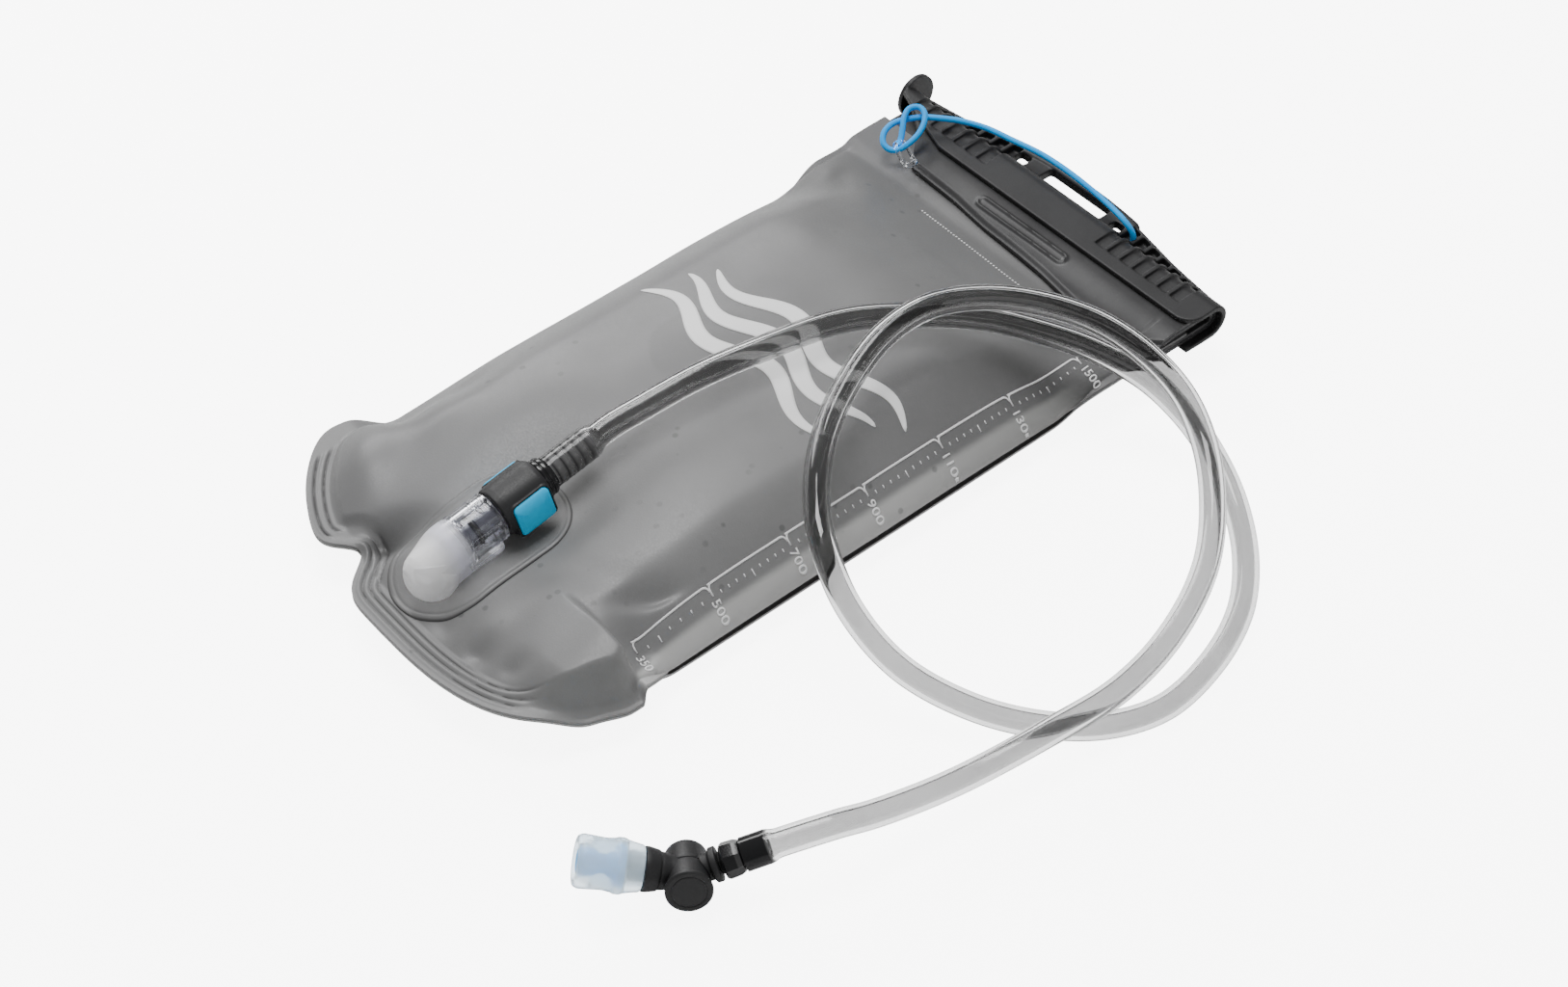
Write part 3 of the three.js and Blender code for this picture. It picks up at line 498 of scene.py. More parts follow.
def prism(name, outline, place, low, high, mat):
    """An outline in place's XZ plane, extruded along its Y."""
    return lofted(name, [[place @ Vector((x, y, z)) for x, z in outline] for y in (low, high)], mat)


def arc(cx, cy, radius, start, end, steps):
    """Points on an arc; start and end are in degrees."""
    return [
        (cx + radius * math.cos(math.radians(a)), cy + radius * math.sin(math.radians(a)))
        for a in np.linspace(start, end, steps)
    ]


def rounded_rectangle(half_width, half_height, radius, steps=6):
    """The outline of a rectangle with rounded corners, about the origin."""
    points = []
    for x, y, start in ((1, 1, 0), (-1, 1, 90), (-1, -1, 180), (1, -1, 270)):
        cx, cy = x * (half_width - radius), y * (half_height - radius)
        points += arc(cx, cy, radius, start, start + 90, steps + 1)
    return points


def smooth_curve(points, spacing):
    """Centripetal Catmull-Rom curve through points, at even spacing."""
    points = [Vector(p) for p in points]
    padded = [2 * points[0] - points[1], *points, 2 * points[-1] - points[-2]]
    fine = []
    steps = 24
    for k in range(1, len(padded) - 2):
        a, b, c, d = padded[k - 1 : k + 3]
        ab, bc, cd = ((q - p).length ** 0.5 for p, q in ((a, b), (b, c), (c, d)))
        out = ((b - a) / ab - (c - a) / (ab + bc) + (c - b) / bc) * bc
        into = ((c - b) / bc - (d - b) / (bc + cd) + (d - c) / cd) * bc
        for step in range(steps):
            t = step / steps
            fine.append(
                b * (2 * t**3 - 3 * t**2 + 1)
                + out * (t**3 - 2 * t**2 + t)
                + c * (-2 * t**3 + 3 * t**2)
                + into * (t**3 - t**2)
            )
    fine.append(points[-1])
    runs = np.cumsum([0] + [(q - p).length for p, q in zip(fine, fine[1:])])
    places = np.linspace(0, runs[-1], int(round(runs[-1] / spacing)) + 1)
    table = np.array(fine)
    return [Vector([np.interp(s, runs, table[:, i]) for i in range(3)]) for s in places]


def length_of(path):
    return sum((q - p).length for p, q in zip(path, path[1:]))


def tube(name, path, outer, inner, sides, mat, closed=False):
    """A tube along a path; outer and inner give the radii at each point, and inner may be None."""
    count = len(path)
    tangents = []
    for k in range(count):
        before = path[k - 1] if closed or k else path[k]
        after = path[(k + 1) % count] if closed or k < count - 1 else path[k]
        tangents.append((after - before).normalized())
    side = tangents[0].orthogonal().normalized()
    rings, hollow = [], []
    for k, (point, along) in enumerate(zip(path, tangents)):
        side = (side - along * side.dot(along)).normalized()
        up = along.cross(side)
        for radius, store in ((outer, rings), (inner, hollow)):
            if radius is None:
                continue
            size = radius[k] if hasattr(radius, "__len__") else radius
            ring = []
            for j in range(sides):
                angle = 2 * math.pi * j / sides
                ring.append(point + (side * math.cos(angle) + up * math.sin(angle)) * size)
            store.append(ring)
    loops = rings + hollow[::-1]
    if closed or hollow:
        points = [p for ring in loops for p in ring]
        return mesh_object(name, points, grid_faces(len(loops), sides, True, True), mat)
    return lofted(name, rings, mat, 70)


def sheet_solid(name, top, bottom, mat):
    """A closed sheet between two grids of points, each (columns, rows, 3)."""
    columns, rows = top.shape[:2]
    size = columns * rows
    points = np.concatenate([top.reshape(-1, 3), bottom.reshape(-1, 3)])
    index = np.arange(size).reshape(columns, rows)
    a, b, c, d = index[:-1, :-1], index[1:, :-1], index[1:, 1:], index[:-1, 1:]
    upper = np.stack([a, b, c, d], -1).reshape(-1, 4)
    lower = np.stack([a, d, c, b], -1).reshape(-1, 4) + size
    faces = upper.tolist() + lower.tolist()
    rim = (
        [(i, 0) for i in range(columns)]
        + [(columns - 1, j) for j in range(1, rows)]
        + [(i, rows - 1) for i in range(columns - 2, -1, -1)]
        + [(0, j) for j in range(rows - 2, 0, -1)]
    )
    ids = [int(index[p]) for p in rim]
    for first, second in zip(ids, ids[1:] + ids[:1]):
        faces.append((first, first + size, second + size, second))
    return mesh_object(name, points, faces, mat, 60)


def paint(obj, name, values):
    """Stores one number per vertex, which a material can read."""
    attribute = obj.data.attributes.new(name, "FLOAT", "POINT")
    attribute.data.foreach_set("value", np.asarray(values, np.float32))


def points_of(obj):
    """The vertices of an object in millimetres, as an array."""
    found = np.zeros(len(obj.data.vertices) * 3, np.float32)
    obj.data.vertices.foreach_get("co", found)
    return found.reshape(-1, 3).astype(float) / MM


# ---------------------------------------------------------------- the shape of the bag


def ease(t):
    """Goes smoothly from 0 to 1 as t does."""
    t = np.clip(t, 0, 1)
    return t * t * (3 - 2 * t)


def bump_at(x, y, cx, cy, sx, sy, turn=0.0):
    """A soft mound of height 1 at (cx, cy), with its spreads turned by an angle in degrees."""
    c, s = math.cos(math.radians(turn)), math.sin(math.radians(turn))
    along = ((x - cx) * c + (y - cy) * s) / sx
    across = (-(x - cx) * s + (y - cy) * c) / sy
    return np.exp(-(along**2) - across**2)


def bottom_edge(x):
    """Y of the rounded bottom edge: rounder on the left, squarer on the right."""
    right = ease((np.asarray(x, float) + 30) / 60)
    power = 2 + 1.4 * right
    low = LEFT_BOTTOM_Y + (RIGHT_BOTTOM_Y - LEFT_BOTTOM_Y) * right
    across = np.clip(1 - np.abs(x / HALF_WIDTH) ** power, 0, 1)
    return CORNER_Y + (low - CORNER_Y) * np.sqrt(across)


def notch(x):
    """How far the bottom weld is drawn in beside the corner tab."""
    return 12.5 * np.exp(-(((x + 30) / 9.5) ** 2))


def box_corner(x, y):
    """Share, 0 to 1, of the lower right corner, which stands up square and ends in a crease."""
    start = ease((y + 161) / 18)
    end = 1 - ease((y + 123.5) / 4)
    return ease((x - 36) / 44) * start * end


def plan(across, row):
    """Maps a column's X and a row's share, 0 to 1, to the bag's outline."""
    low = bottom_edge(across) + notch(across)
    y = low + (FILM_TOP_Y - low) * row
    tab = 3 * np.clip(-across / HALF_WIDTH, 0, 1) ** 8 * np.exp(-(((y + 134) / 16) ** 2))
    corner = 2.2 * ease((y + 140) / 12) * box_corner(across, y) * ease((across - 55) / 25)
    shoulder = 1.2 * np.exp(-(((y - 112) / 12) ** 2)) * np.abs(across / HALF_WIDTH) ** 8
    waist = 4.2 * ease((y + 122) / 16) * (1 - ease((y - 82) / 26)) * np.abs(across / HALF_WIDTH) ** 6
    x = across - tab + corner - (shoulder + waist) * np.sign(across)
    return x, y


def fullness(x, y, half_width, side_power, rise, fall, flatten):
    """How full the pillow is, from 0 at its welds to 1 at the crown."""
    side = np.clip(1 - np.abs(x / half_width) ** side_power, 0, 1) ** 0.5
    from_bottom = np.clip((y - bottom_edge(x) - BOTTOM_WELD) / rise, 0, 1)
    from_top = np.clip((STRIP_START_Y - y) / fall, 0, 1)
    lift = 1 - (1 - from_bottom) ** 2.2
    drop = np.sin(math.pi / 2 * from_top) ** 1.3
    return np.minimum(1, flatten * side * lift * drop)


def outline_points():
    """The bag's outline from the upper left, round the bottom, to the upper right."""
    sides = np.linspace(FILM_TOP_Y, CORNER_Y, 120)
    share = (sides - CORNER_Y) / (FILM_TOP_Y - CORNER_Y)
    left = np.stack(plan(np.full(120, -float(HALF_WIDTH)), share), -1)
    across = np.sin(np.linspace(-math.pi / 2, math.pi / 2, 400)) * HALF_WIDTH
    bottom = np.stack(plan(across, np.zeros(400)), -1)
    right = np.stack(plan(np.full(120, float(HALF_WIDTH)), share[::-1]), -1)
    return np.concatenate([left, bottom, right])


def distance_to(outline, x, y):
    """Distance from each point to the nearest point of the outline, worked out in chunks."""
    flat = np.stack([x.ravel(), y.ravel()], -1)
    nearest = np.full(len(flat), 1e9)
    for chunk in np.array_split(np.arange(len(flat)), 40):
        gap = flat[chunk, None, :] - outline[None, :, :]
        nearest[chunk] = np.sqrt((gap**2).sum(-1).min(1))
    return nearest.reshape(x.shape)


def ridge(distance, at, width):
    """A narrow line of height 1 at a given distance."""
    return np.exp(-(((distance - at) / width) ** 2))


def weld_relief(x, y, d):
    """Ridges pressed into the weld: three along the bottom and two long loops on the tab."""
    relief = np.zeros_like(x)
    bottom = ease((x + 34) / 6) * (1 - ease((x - 60) / 8)) * (1 - ease((y + 128) / 8))
    for at in (2.4, 5.2, 8.0):
        relief += bottom * (0.42 * ridge(d, at, 0.75) - 0.5 * ridge(d, at + 1.35, 0.45))
    on_tab = (1 - ease((x + 44) / 3)) * ease((x + 78.5) / 3) * (1 - ease((y + 131) / 3))
    for at in (2.9, 6.4):
        relief += on_tab * (0.3 * ridge(d, at - 1, 0.5) + 0.3 * ridge(d, at + 1, 0.5))
        relief -= on_tab * 0.6 * ridge(d, at, 0.55)
    return relief


CREASES = (  # height, centre, spreads and turn of the soft folds and hollows inside the welds
    (2.0, -60, -104, 12, 14, 0), (-1.4, -66, -82, 10, 10, 0), (-3.4, 72, -104, 5, 13, 6),
    (-2.6, 61, -99, 3.6, 13, -24), (1.5, 67, -92, 2.8, 9, -10), (-1.6, 76, -88, 3, 12, 14),
    (-1.8, 20, -157, 5, 6, 0), (-2.2, 38, -156, 5, 6, 0), (-1.8, 52, -152, 5, 6, 0),
    (-1.0, 2, -157, 5, 6, 0), (1.2, 30, -148, 7, 9, 0), (-1.5, 40, -112, 30, 8, 35),
    (-0.9, -30, 70, 40, 7, 8), (-0.8, 20, 92, 40, 5, -4), (0.9, -46, 96, 16, 8, -30),
    (-1.2, -62, 98, 14, 5, -38),
)  # fmt: skip


def creases(x, y, d):
    """Soft folds and hollows of the filled film, in millimetres."""
    beside_tab = bump_at(x, y, -26, -149, 17, 7, 62) * ease((d - 1) / 8)
    left_corner = bump_at(x, y, -60, -134, 24, 13, -40) * ease((d - 8) / 4)
    z = 6.5 * left_corner - 8.5 * beside_tab
    inside = ease((d - 9) / 8)
    for height, *place in CREASES:
        z += height * bump_at(x, y, *place) * inside
    return z


def ripple(x, y):
    """Slow unevenness of the film, so that its highlights wander."""
    values = []
    for a, b in zip(x.ravel(), y.ravel()):
        slow = noise.noise(Vector((a / 38, b / 46, 1.7)))
        quick = noise.noise(Vector((a / 15, b / 19, 5.1)))
        values.append(slow * 0.8 + quick * 0.2)
    return np.array(values).reshape(x.shape)


def side_sag(x, y, start, run):
    """How far the side welds droop between the lower corners and the mouth."""
    return 7 * ease((np.abs(x) - start) / run) * ease((y + 124) / 20) * (1 - ease((y - 76) / 28))


def port_dent(x, y):
    """How far the hose port pulls the crown in round itself."""
    return 12 * np.exp(-(((x - 4) / 30) ** 2) - ((y + 105) / 38) ** 2)


def front_height(x, y, d):
    """Height of the front panel's outer face."""
    full = fullness(x, y, PILLOW_HALF_WIDTH, 2.4, 105, 75, 1)
    z = FRONT_RIM_Z + (CROWN_Z - FRONT_RIM_Z) * full - port_dent(x, y) * full
    z -= side_sag(x, y, 50, 28)
    corner = box_corner(x, y)
    raised = 12.5 * corner * ease((86 - x) / 8) * ease((d - 3) / 7)
    sunk_weld = 5 * corner * ease((x - 66) / 16) * (1 - ease((d - 1) / 6))
    hollow = 4.5 * bump_at(x, y, 79, -113, 13, 6.5) * ease((d - 2) / 8)
    step_to_strips = 1.65 * ease((y - 117) / 6)
    z += raised - sunk_weld - hollow + step_to_strips
    near_port = bump_at(x, y, 6, -126, 24, 40)
    z += creases(x, y, d) * (1 - 0.85 * near_port)
    z += ripple(x, y) * np.clip(full * 3, 0, 1) * (1 - 0.8 * near_port)
    return z + weld_relief(x, y, d)


def back_height(x, y, d):
    """Height of the back panel's outer face, which lies on the floor."""
    full = fullness(x, y, PILLOW_HALF_WIDTH, 5, 45, 60, 1.1)
    lowered = 5 * box_corner(x, y) * ease((x - 66) / 16) + side_sag(x, y, 58, 18)
    z = (BACK_RIM_Z - lowered) * (1 - full)
    return z + 0.8 * (1 - full) * weld_relief(x, y, d)


def panel_grid(columns, steps):
    """Column and row places: close together at the sides and along the bottom weld."""
    offsets = np.concatenate([np.arange(low, high, step) for low, high, step in steps])
    length = FILM_TOP_Y - RIGHT_BOTTOM_Y
    rows = np.append(offsets / length, 1.0)
    across = np.sin(np.linspace(-math.pi / 2, math.pi / 2, columns)) * HALF_WIDTH
    return np.meshgrid(across, rows, indexing="ij")


OUTLINE = outline_points()


def make_panel(name, grid, height, inset, mat):
    """One film panel: its outer face at height, its inner face a film's thickness inside."""
    x, y = plan(*grid)
    d = distance_to(OUTLINE, x, y)
    z = height(x, y, d)
    outer = np.stack([x, y, z], -1)
    inner = np.stack([x, y, z + inset], -1)
    obj = sheet_solid(name, outer, inner, mat)
    where = points_of(obj)
    return obj, where[:, 0], where[:, 1], distance_to(OUTLINE, where[:, 0], where[:, 1])


def make_bag():
    """The two film panels, with the painted shares that their materials read: the pale weld, and on the
    front painted shade and the ring of water.
    """
    grid = panel_grid(250, ((0, 16, 0.5), (16, 78, 0.85), (78, 312, 1.9)))
    front, x, y, d = make_panel("front_film", grid, front_height, -FILM, MATERIALS["film"])
    side_weld = ease((6.5 - d) / 2.5) * ease((x - 60) / 12) * ease((y + 122) / 3)
    bottom = ease((11 - d) / 3) * (1 - ease((y + 126) / 6))
    paint(front, "weld", 0.6 * side_weld * (1 - ease((y - 78) / 16)) + 0.06 * bottom)
    # painted shadow in the deep hollow between the tab's pillow and the patch
    hollow = bump_at(x, y, -27, -151, 10, 5.5, 55) * 0.9
    # painted shade in the grooves pressed into the weld
    grooves = np.clip(-weld_relief(x, y, d) * 1.8, 0, 1) * 0.85
    # painted shade on the film round and under the hose port
    painted_shade_under_port = 0.15 * bump_at(x, y, 4, -112, 22, 46)
    # painted shade: the film darker towards the mouth
    painted_shade_to_mouth = 0.42 * ease((y + 5) / 100)
    from_puddle = np.hypot(x - PUDDLE_X, y - PUDDLE_Y) - PUDDLE_RADIUS
    puddle = 0.14 * ease(-from_puddle / 1.5) + 0.12 * ridge(from_puddle, -0.3, 0.7)
    paint(front, "shade", np.clip(hollow + grooves + painted_shade_under_port + painted_shade_to_mouth + puddle, 0, 1))
    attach(front, "bag")
    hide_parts("front_panel")

    grid = panel_grid(150, ((0, 14, 0.8), (14, 80, 2.2), (80, 312, 4)))
    back, x, y, d = make_panel("back_film", grid, back_height, FILM, MATERIALS["back_film"])
    paint(back, "weld", 0.35 * ease((7 - d) / 3))
    paint(back, "shade", np.zeros(len(x)))
    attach(back, "bag")
    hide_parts("back_panel")
    return front


def surface_probe(obj):
    """Finds the height and the normal of an object's upper face at (x, y), in millimetres."""
    tree = BVHTree.FromObject(obj, bpy.context.evaluated_depsgraph_get())

    def probe(x, y):
        hit, normal, _, _ = tree.ray_cast(Vector((x * MM, y * MM, 0.2)), Vector((0, 0, -1)))
        return (hit / MM, normal) if hit is not None else (None, None)

    return probe


# ---------------------------------------------------------------- what is printed on the bag


def stroke(points, widths, across=1):
    """Quads of a stroke along points; widths is one number or one for each point."""
    points = [Vector(p) for p in points]
    rows, faces = [], []
    for k, point in enumerate(points):
        before, after = points[max(k - 1, 0)], points[min(k + 1, len(points) - 1)]
        direction = (after - before).normalized()
        side = Vector((-direction.y, direction.x))
        width = widths[k] if hasattr(widths, "__len__") else widths
        rows.append([point + side * width * (j / across - 0.5) for j in range(across + 1)])
    step = across + 1
    for k in range(len(points) - 1):
        for j in range(across):
            faces.append((k * step + j, k * step + j + 1, (k + 1) * step + j + 1, (k + 1) * step + j))
    return [p for row in rows for p in row], faces


def dot(x, y, radius):
    """An eight-sided dot."""
    return [Vector(p) for p in arc(x, y, radius, 0, 315, 8)], [tuple(range(8))]


def digits(text, x, y, height):
    """Outlines of plain numerals, from Blender's own font, read along +X."""
    curve = bpy.data.curves.new("numerals", "FONT")
    curve.body, curve.size = text, height * 1.38
    curve.resolution_u = 3
    curve.offset = 0.06
    obj = bpy.data.objects.new("numerals", curve)
    bpy.context.scene.collection.objects.link(obj)
    graph = bpy.context.evaluated_depsgraph_get()
    mesh = bpy.data.meshes.new_from_object(obj.evaluated_get(graph))
    points = [Vector((x + v.co.x * 0.92, y + v.co.y)) for v in mesh.vertices]
    faces = [tuple(p.vertices) for p in mesh.polygons]
    bpy.data.objects.remove(obj)
    bpy.data.meshes.remove(mesh)
    return points, faces


def printed(name, marks, probe):
    """Lays flat marks on the film as a thin coat of ink."""
    above_film, coat_thickness = 0.13, 0.06
    points, faces = [], []
    for mark_points, mark_faces in marks:
        start = len(points)
        points += mark_points
        faces += [tuple(start + i for i in face) for face in mark_faces]
    places, kept = [], set()
    for k, point in enumerate(points):
        hit, normal = probe(point.x, point.y)
        if hit is None:
            hit, normal = Vector((point.x, point.y, 0)), Vector((0, 0, 1))
        else:
            kept.add(k)
        places.append(hit + normal * above_film)
    faces = [face for face in faces if all(i in kept for i in face)]
    obj = mesh_object(name, places, faces, MATERIALS["ink"], 60)
    coat = obj.modifiers.new("coat", "SOLIDIFY")
    coat.thickness, coat.offset = coat_thickness * MM, 1
    apply_modifiers(obj)
    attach(obj, "bag")


def make_scale(probe):
    """The filling scale: an upright line hooked at each number, with shorter steps between."""
    line_x, thick, thin, bend, hook, gap, numeral = 68, 0.6, 0.42, 1.9, 1.7, 2.2, 3.5
    levels = (
        (-114, "350"), (-80, "500"), (-44.5, "700"), (-8, "900"),
        (28, "1100"), (63, "1300"), (98, "1500"),
    )  # fmt: skip
    marks = []
    for k, ((low, _), (high, _)) in enumerate(zip(levels, levels[1:])):
        run = [(line_x, y) for y in np.arange(low, high - gap, 1.5)]
        turn = arc(line_x + bend, high - gap, bend, 180, 90, 6)
        marks.append(stroke(run + turn, thick))
        steps, skipped = (10, 0) if k else (7, 3)
        for step in range(1, steps):
            y = low + (high - low) * step / steps
            end = 3.9 if (step + skipped) % 5 else 5.0
            marks.append(stroke([(line_x + 2.9, y), (line_x + end, y)], thin))
    for y, _ in levels:
        curl = arc(line_x + hook, y + hook, hook, 180, 270, 6)
        marks.append(stroke([*curl, (line_x + 2 * hook, y)], thick))
    for y, text in levels:
        marks.append(digits(text, line_x + 4.4, y - 1.8, numeral))
    printed("printed_scale", marks, probe)


def make_waves(probe):
    """Three plain wavy strokes in the place of the photographed bag's mark."""
    length, wavelength, swing, apart = 104, 52, 4.6, 12.5
    waves = []
    for k in range(3):
        path, widths = [], []
        for t in np.linspace(0, 1, 90):
            x = -54 + 6 * k + length * t
            y = -8 + apart * k + swing * math.sin(2 * math.pi * (x + 7 * k) / wavelength)
            path.append((x, y))
            widths.append(0.4 + 7.2 * math.sin(math.pi * t) ** 0.55)
        waves.append(stroke(path, widths, 6))
    printed("printed_waves", waves, probe)


def make_prints(film):
    """The filling scale, the dotted fill line and the waves on the front film."""
    probe = surface_probe(film)
    make_scale(probe)
    left, right, spacing, slope = -31, 42, 1.55, 0.04
    dots = [dot(x, 112.6 - slope * (x - left), 0.46) for x in np.arange(left, right, spacing)]
    printed("printed_fill_line", dots, probe)
    make_waves(probe)


# ---------------------------------------------------------------- mouth strips and slider


def flap_left(y):
    """The flap's left end is cut away towards its free edge."""
    return np.interp(y, (118, 125, 142, 146, 152), (-44, -51, -66, -72, -82))


def flap_free_edge(x):
    """Y of the flap's wavy free edge."""
    places = (-82, -50, -30, -8, 11, 37, 59, 76, 84)
    return np.interp(x, places, (126, 125, 123, 122, 121, 118.2, 119, 120.8, 126))


FLAP_RIB = (4.9, 131, 21.5, 2.1)  # centre, half length of its straight part, radius of its ends


def racetrack(x, y, cx, cy, half_length, radius):
    """Distance from the centre line of a stadium-shaped rib."""
    along = np.maximum(np.abs(x - cx) - half_length, 0)
    return np.abs(np.hypot(along, y - cy) - radius)


def make_strip(name, radius, node, flap_details):
    """One mouth strip: under the fold, round it and back over the front as a flap."""
    half = 0.75  # half the strip's thickness
    left_end, right_end = -82, 84
    lower = [(y, FOLD_Z - radius, 0.0, -1.0) for y in np.linspace(122.3, FOLD_Y, 12)[:-1]]
    around = [
        (FOLD_Y + radius * math.cos(a), FOLD_Z + radius * math.sin(a), math.cos(a), math.sin(a))
        for a in np.linspace(-math.pi / 2, math.pi / 2, 26)
    ]
    folded = [*lower, *around]
    flap_rows = np.linspace(0, 1, 76)[1:]
    columns = np.concatenate([np.linspace(left_end, 76, 190), np.linspace(76.5, right_end, 18)])
    outer = np.zeros((len(columns), len(folded) + len(flap_rows), 3))
    inner = outer.copy()
    for i, base in enumerate(columns):
        for j, (y, z, ny, nz) in enumerate(folded):
            outer[i, j] = (base, y + ny * half, z + nz * half)
            inner[i, j] = (base, y - ny * half, z - nz * half)
        edge = float(flap_free_edge(base)) + (0 if flap_details else 3)
        for k, share in enumerate(flap_rows):
            y = FOLD_Y + (edge - FOLD_Y) * share
            left = float(flap_left(y))
            x = left + (right_end - left) * (base - left_end) / (right_end - left_end)
            z = FOLD_Z + radius
            if flap_details:
                rib = float(ridge(racetrack(x, y, *FLAP_RIB), 0, 0.7))
                seam = float(ridge(x, 75, 0.5) * ease((137 - y) / 4))
                wave = math.sin(x / 9.0) * float(ease((136 - y) / 14))
                z += 0.85 * rib - 0.35 * seam + 0.25 * wave
            z -= 1.5 * float(ease((FOLD_Y - 16.5 - y) / 12))
            if flap_details:
                z -= 1.3 * float(ease((edge + 2.9 - y) / 2.6))
            j = len(folded) + k
            outer[i, j] = (x, y, z + half)
            inner[i, j] = (x, y, z - half)
    obj = sheet_solid(name, outer, inner, MATERIALS["strip"])
    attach(obj, "bag")
    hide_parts(node)


def along_x(centre_y=0.0, centre_z=0.0):
    """Frame whose XZ plane is the row's YZ plane and whose Y runs along the row's X."""
    return Matrix(((0, 1, 0, 0), (1, 0, 0, centre_y), (0, 0, 1, centre_z), (0, 0, 0, 1)))


def flat_on_top(z=0.0):
    """Frame whose XZ plane lies flat, as the row's XY plane, and whose Y points up."""
    return Matrix(((1, 0, 0, 0), (0, 0, 1, 0), (0, 1, 0, z), (0, 0, 0, 1)))


SLIDER_REAR = [
    (80, 159.9, 0), (57.2, 162.8, 0), (42.4, 165.7, 0), (33, 167.6, 0), (24, 169.1, 0),
    (11, 170.4, 0), (-2, 170.8, 0), (-14, 170.5, 0), (-24, 169.4, 0), (-34, 167.6, 0),
    (-44, 165.4, 0), (-58, 162.8, 0), (-80, 159.9, 0),
]  # fmt: skip
GRIP_LINE = [(32, 167.1, 0), (16, 168.7, 0), (-2, 169.2, 0), (-16, 168.9, 0), (-31, 167.2, 0)]


def make_slider():
    """The slide closure: a C-shaped channel with a grooved handle behind it and a plate at its end."""
    mat = MATERIALS["black"]
    left, right, lip_y, lip, wall = -84.3, 87.0, 138.5, 7.1, 2.0
    inner, outer = lip - wall, 7.4
    above = 45  # a height that every cut from above starts over
    section = [
        (lip_y, FOLD_Z + inner), (lip_y, FOLD_Z + lip),
        *arc(FOLD_Y, FOLD_Z, outer, 90, -90, 40),
        (lip_y, FOLD_Z - lip), (lip_y, FOLD_Z - inner),
        *arc(FOLD_Y, FOLD_Z, inner, -90, 90, 40),
    ]  # fmt: skip
    body = prism("slider_body", section, along_x(), left, right, mat)

    arch = smooth_curve(SLIDER_REAR, 3)
    outline = [(-80, 157.2), (80, 157.2)] + [(p.x, p.y) for p in arch]
    handle = prism("handle", outline, flat_on_top(), FOLD_Z - 1.6, FOLD_Z + 2.2, mat)
    hollow = prism("hollow", arc(FOLD_Y, FOLD_Z, inner + 0.4, 0, 352, 45), along_x(), -100, 100, mat)
    carve(handle, hollow)
    carve(body, handle, "UNION")
    grip_rings = []
    for p in smooth_curve(GRIP_LINE, 1.5):
        end = min(1, max(0, 32.2 - abs(p.x - 0.5)) / 2.5) ** 0.5
        wide, tall = 0.5 + 0.5 * end, 0.4 + 0.6 * end
        section = rounded_rectangle(2.1, 2.5, 1.3)
        grip_rings.append([(p.x, p.y + a * wide, FOLD_Z + 0.5 + b * tall) for a, b in section])
    carve(body, lofted("grip", grip_rings, mat), "UNION")
    corner = [
        (left - 5, lip_y - 5), (-46, lip_y - 5), (-50, lip_y), (-61, 142.2),
        (left, 151), (left - 5, 153),
    ]  # fmt: skip
    carve(body, prism("left_corner", corner, flat_on_top(), FOLD_Z, above, mat))
    end_plate = (  # from, to, half width, half height: the plate, its raised rim, the rim's hollow
        (0, 2.1, 9.0, 9.6, "UNION"), (2.1, 2.7, 8.2, 8.8, "UNION"), (2.1, 3.1, 6.6, 7.2, "DIFFERENCE"),
    )  # fmt: skip
    for low, high, half_y, half_z, operation in end_plate:
        plate = prism("plate", arc(0, 0, 1, 0, 354, 60), Matrix.Identity(4), 0, 1, mat)
        plate.data.transform(Matrix.Diagonal((half_y, high - low, half_z, 1)))
        plate.data.transform(along_x((FOLD_Y + 7) * MM, FOLD_Z * MM))
        plate.data.transform(Matrix.Translation(((left - high) * MM, 0, 0)))
        carve(body, plate, operation)

    rear_x, rear_y = [p.x for p in arch][::-1], [p.y for p in arch][::-1]
    first, pitch, half_groove, rear_wall = 33, 6.6, 2.4, 1.3
    groove = [(145, above), (145, FOLD_Z + 6.0), *arc(FOLD_Y, FOLD_Z, 6.3, 90, 8, 12), (158.3, above)]
    tools = []
    for k in range(7):
        for side in (-1, 1):
            x = side * (first + pitch * k)
            low, high = x - half_groove, x + half_groove
            tools.append(prism("groove", groove, along_x(), low, high, mat))
            back = [float(np.interp(end, rear_x, rear_y)) - rear_wall for end in (high, low)]
            pocket = [(low, 158.2), (high, 158.2), (high, back[0]), (low, back[1])]
            tools.append(prism("pocket", pocket, flat_on_top(), FOLD_Z - 1, above, mat))
    holes = ((1.5, 163.3, 16.5, 3.7), (-27.2, 162.6, 3.2, 2.9), (26.0, 161.9, 2.8, 2.2))
    for x, y, width, height in holes:
        hole = [(x + a, y + b) for a, b in rounded_rectangle(width, height, 1.4)]
        tools.append(prism("hole", hole, flat_on_top(), -5, above, mat))
    for tool in tools:
        carve(body, tool)
    bend = 8
    corner = [
        (right + 1, lip_y - 1), (right + 1, lip_y + bend),
        *arc(right - bend, lip_y + bend, bend, 0, -90, 12), (right - bend, lip_y - 1),
    ]  # fmt: skip
    carve(body, prism("corner", corner, flat_on_top(), FOLD_Z, above, mat))
    mould(body, 0.38, 1, 0.4)
    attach(body, "slider")
    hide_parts("slider")


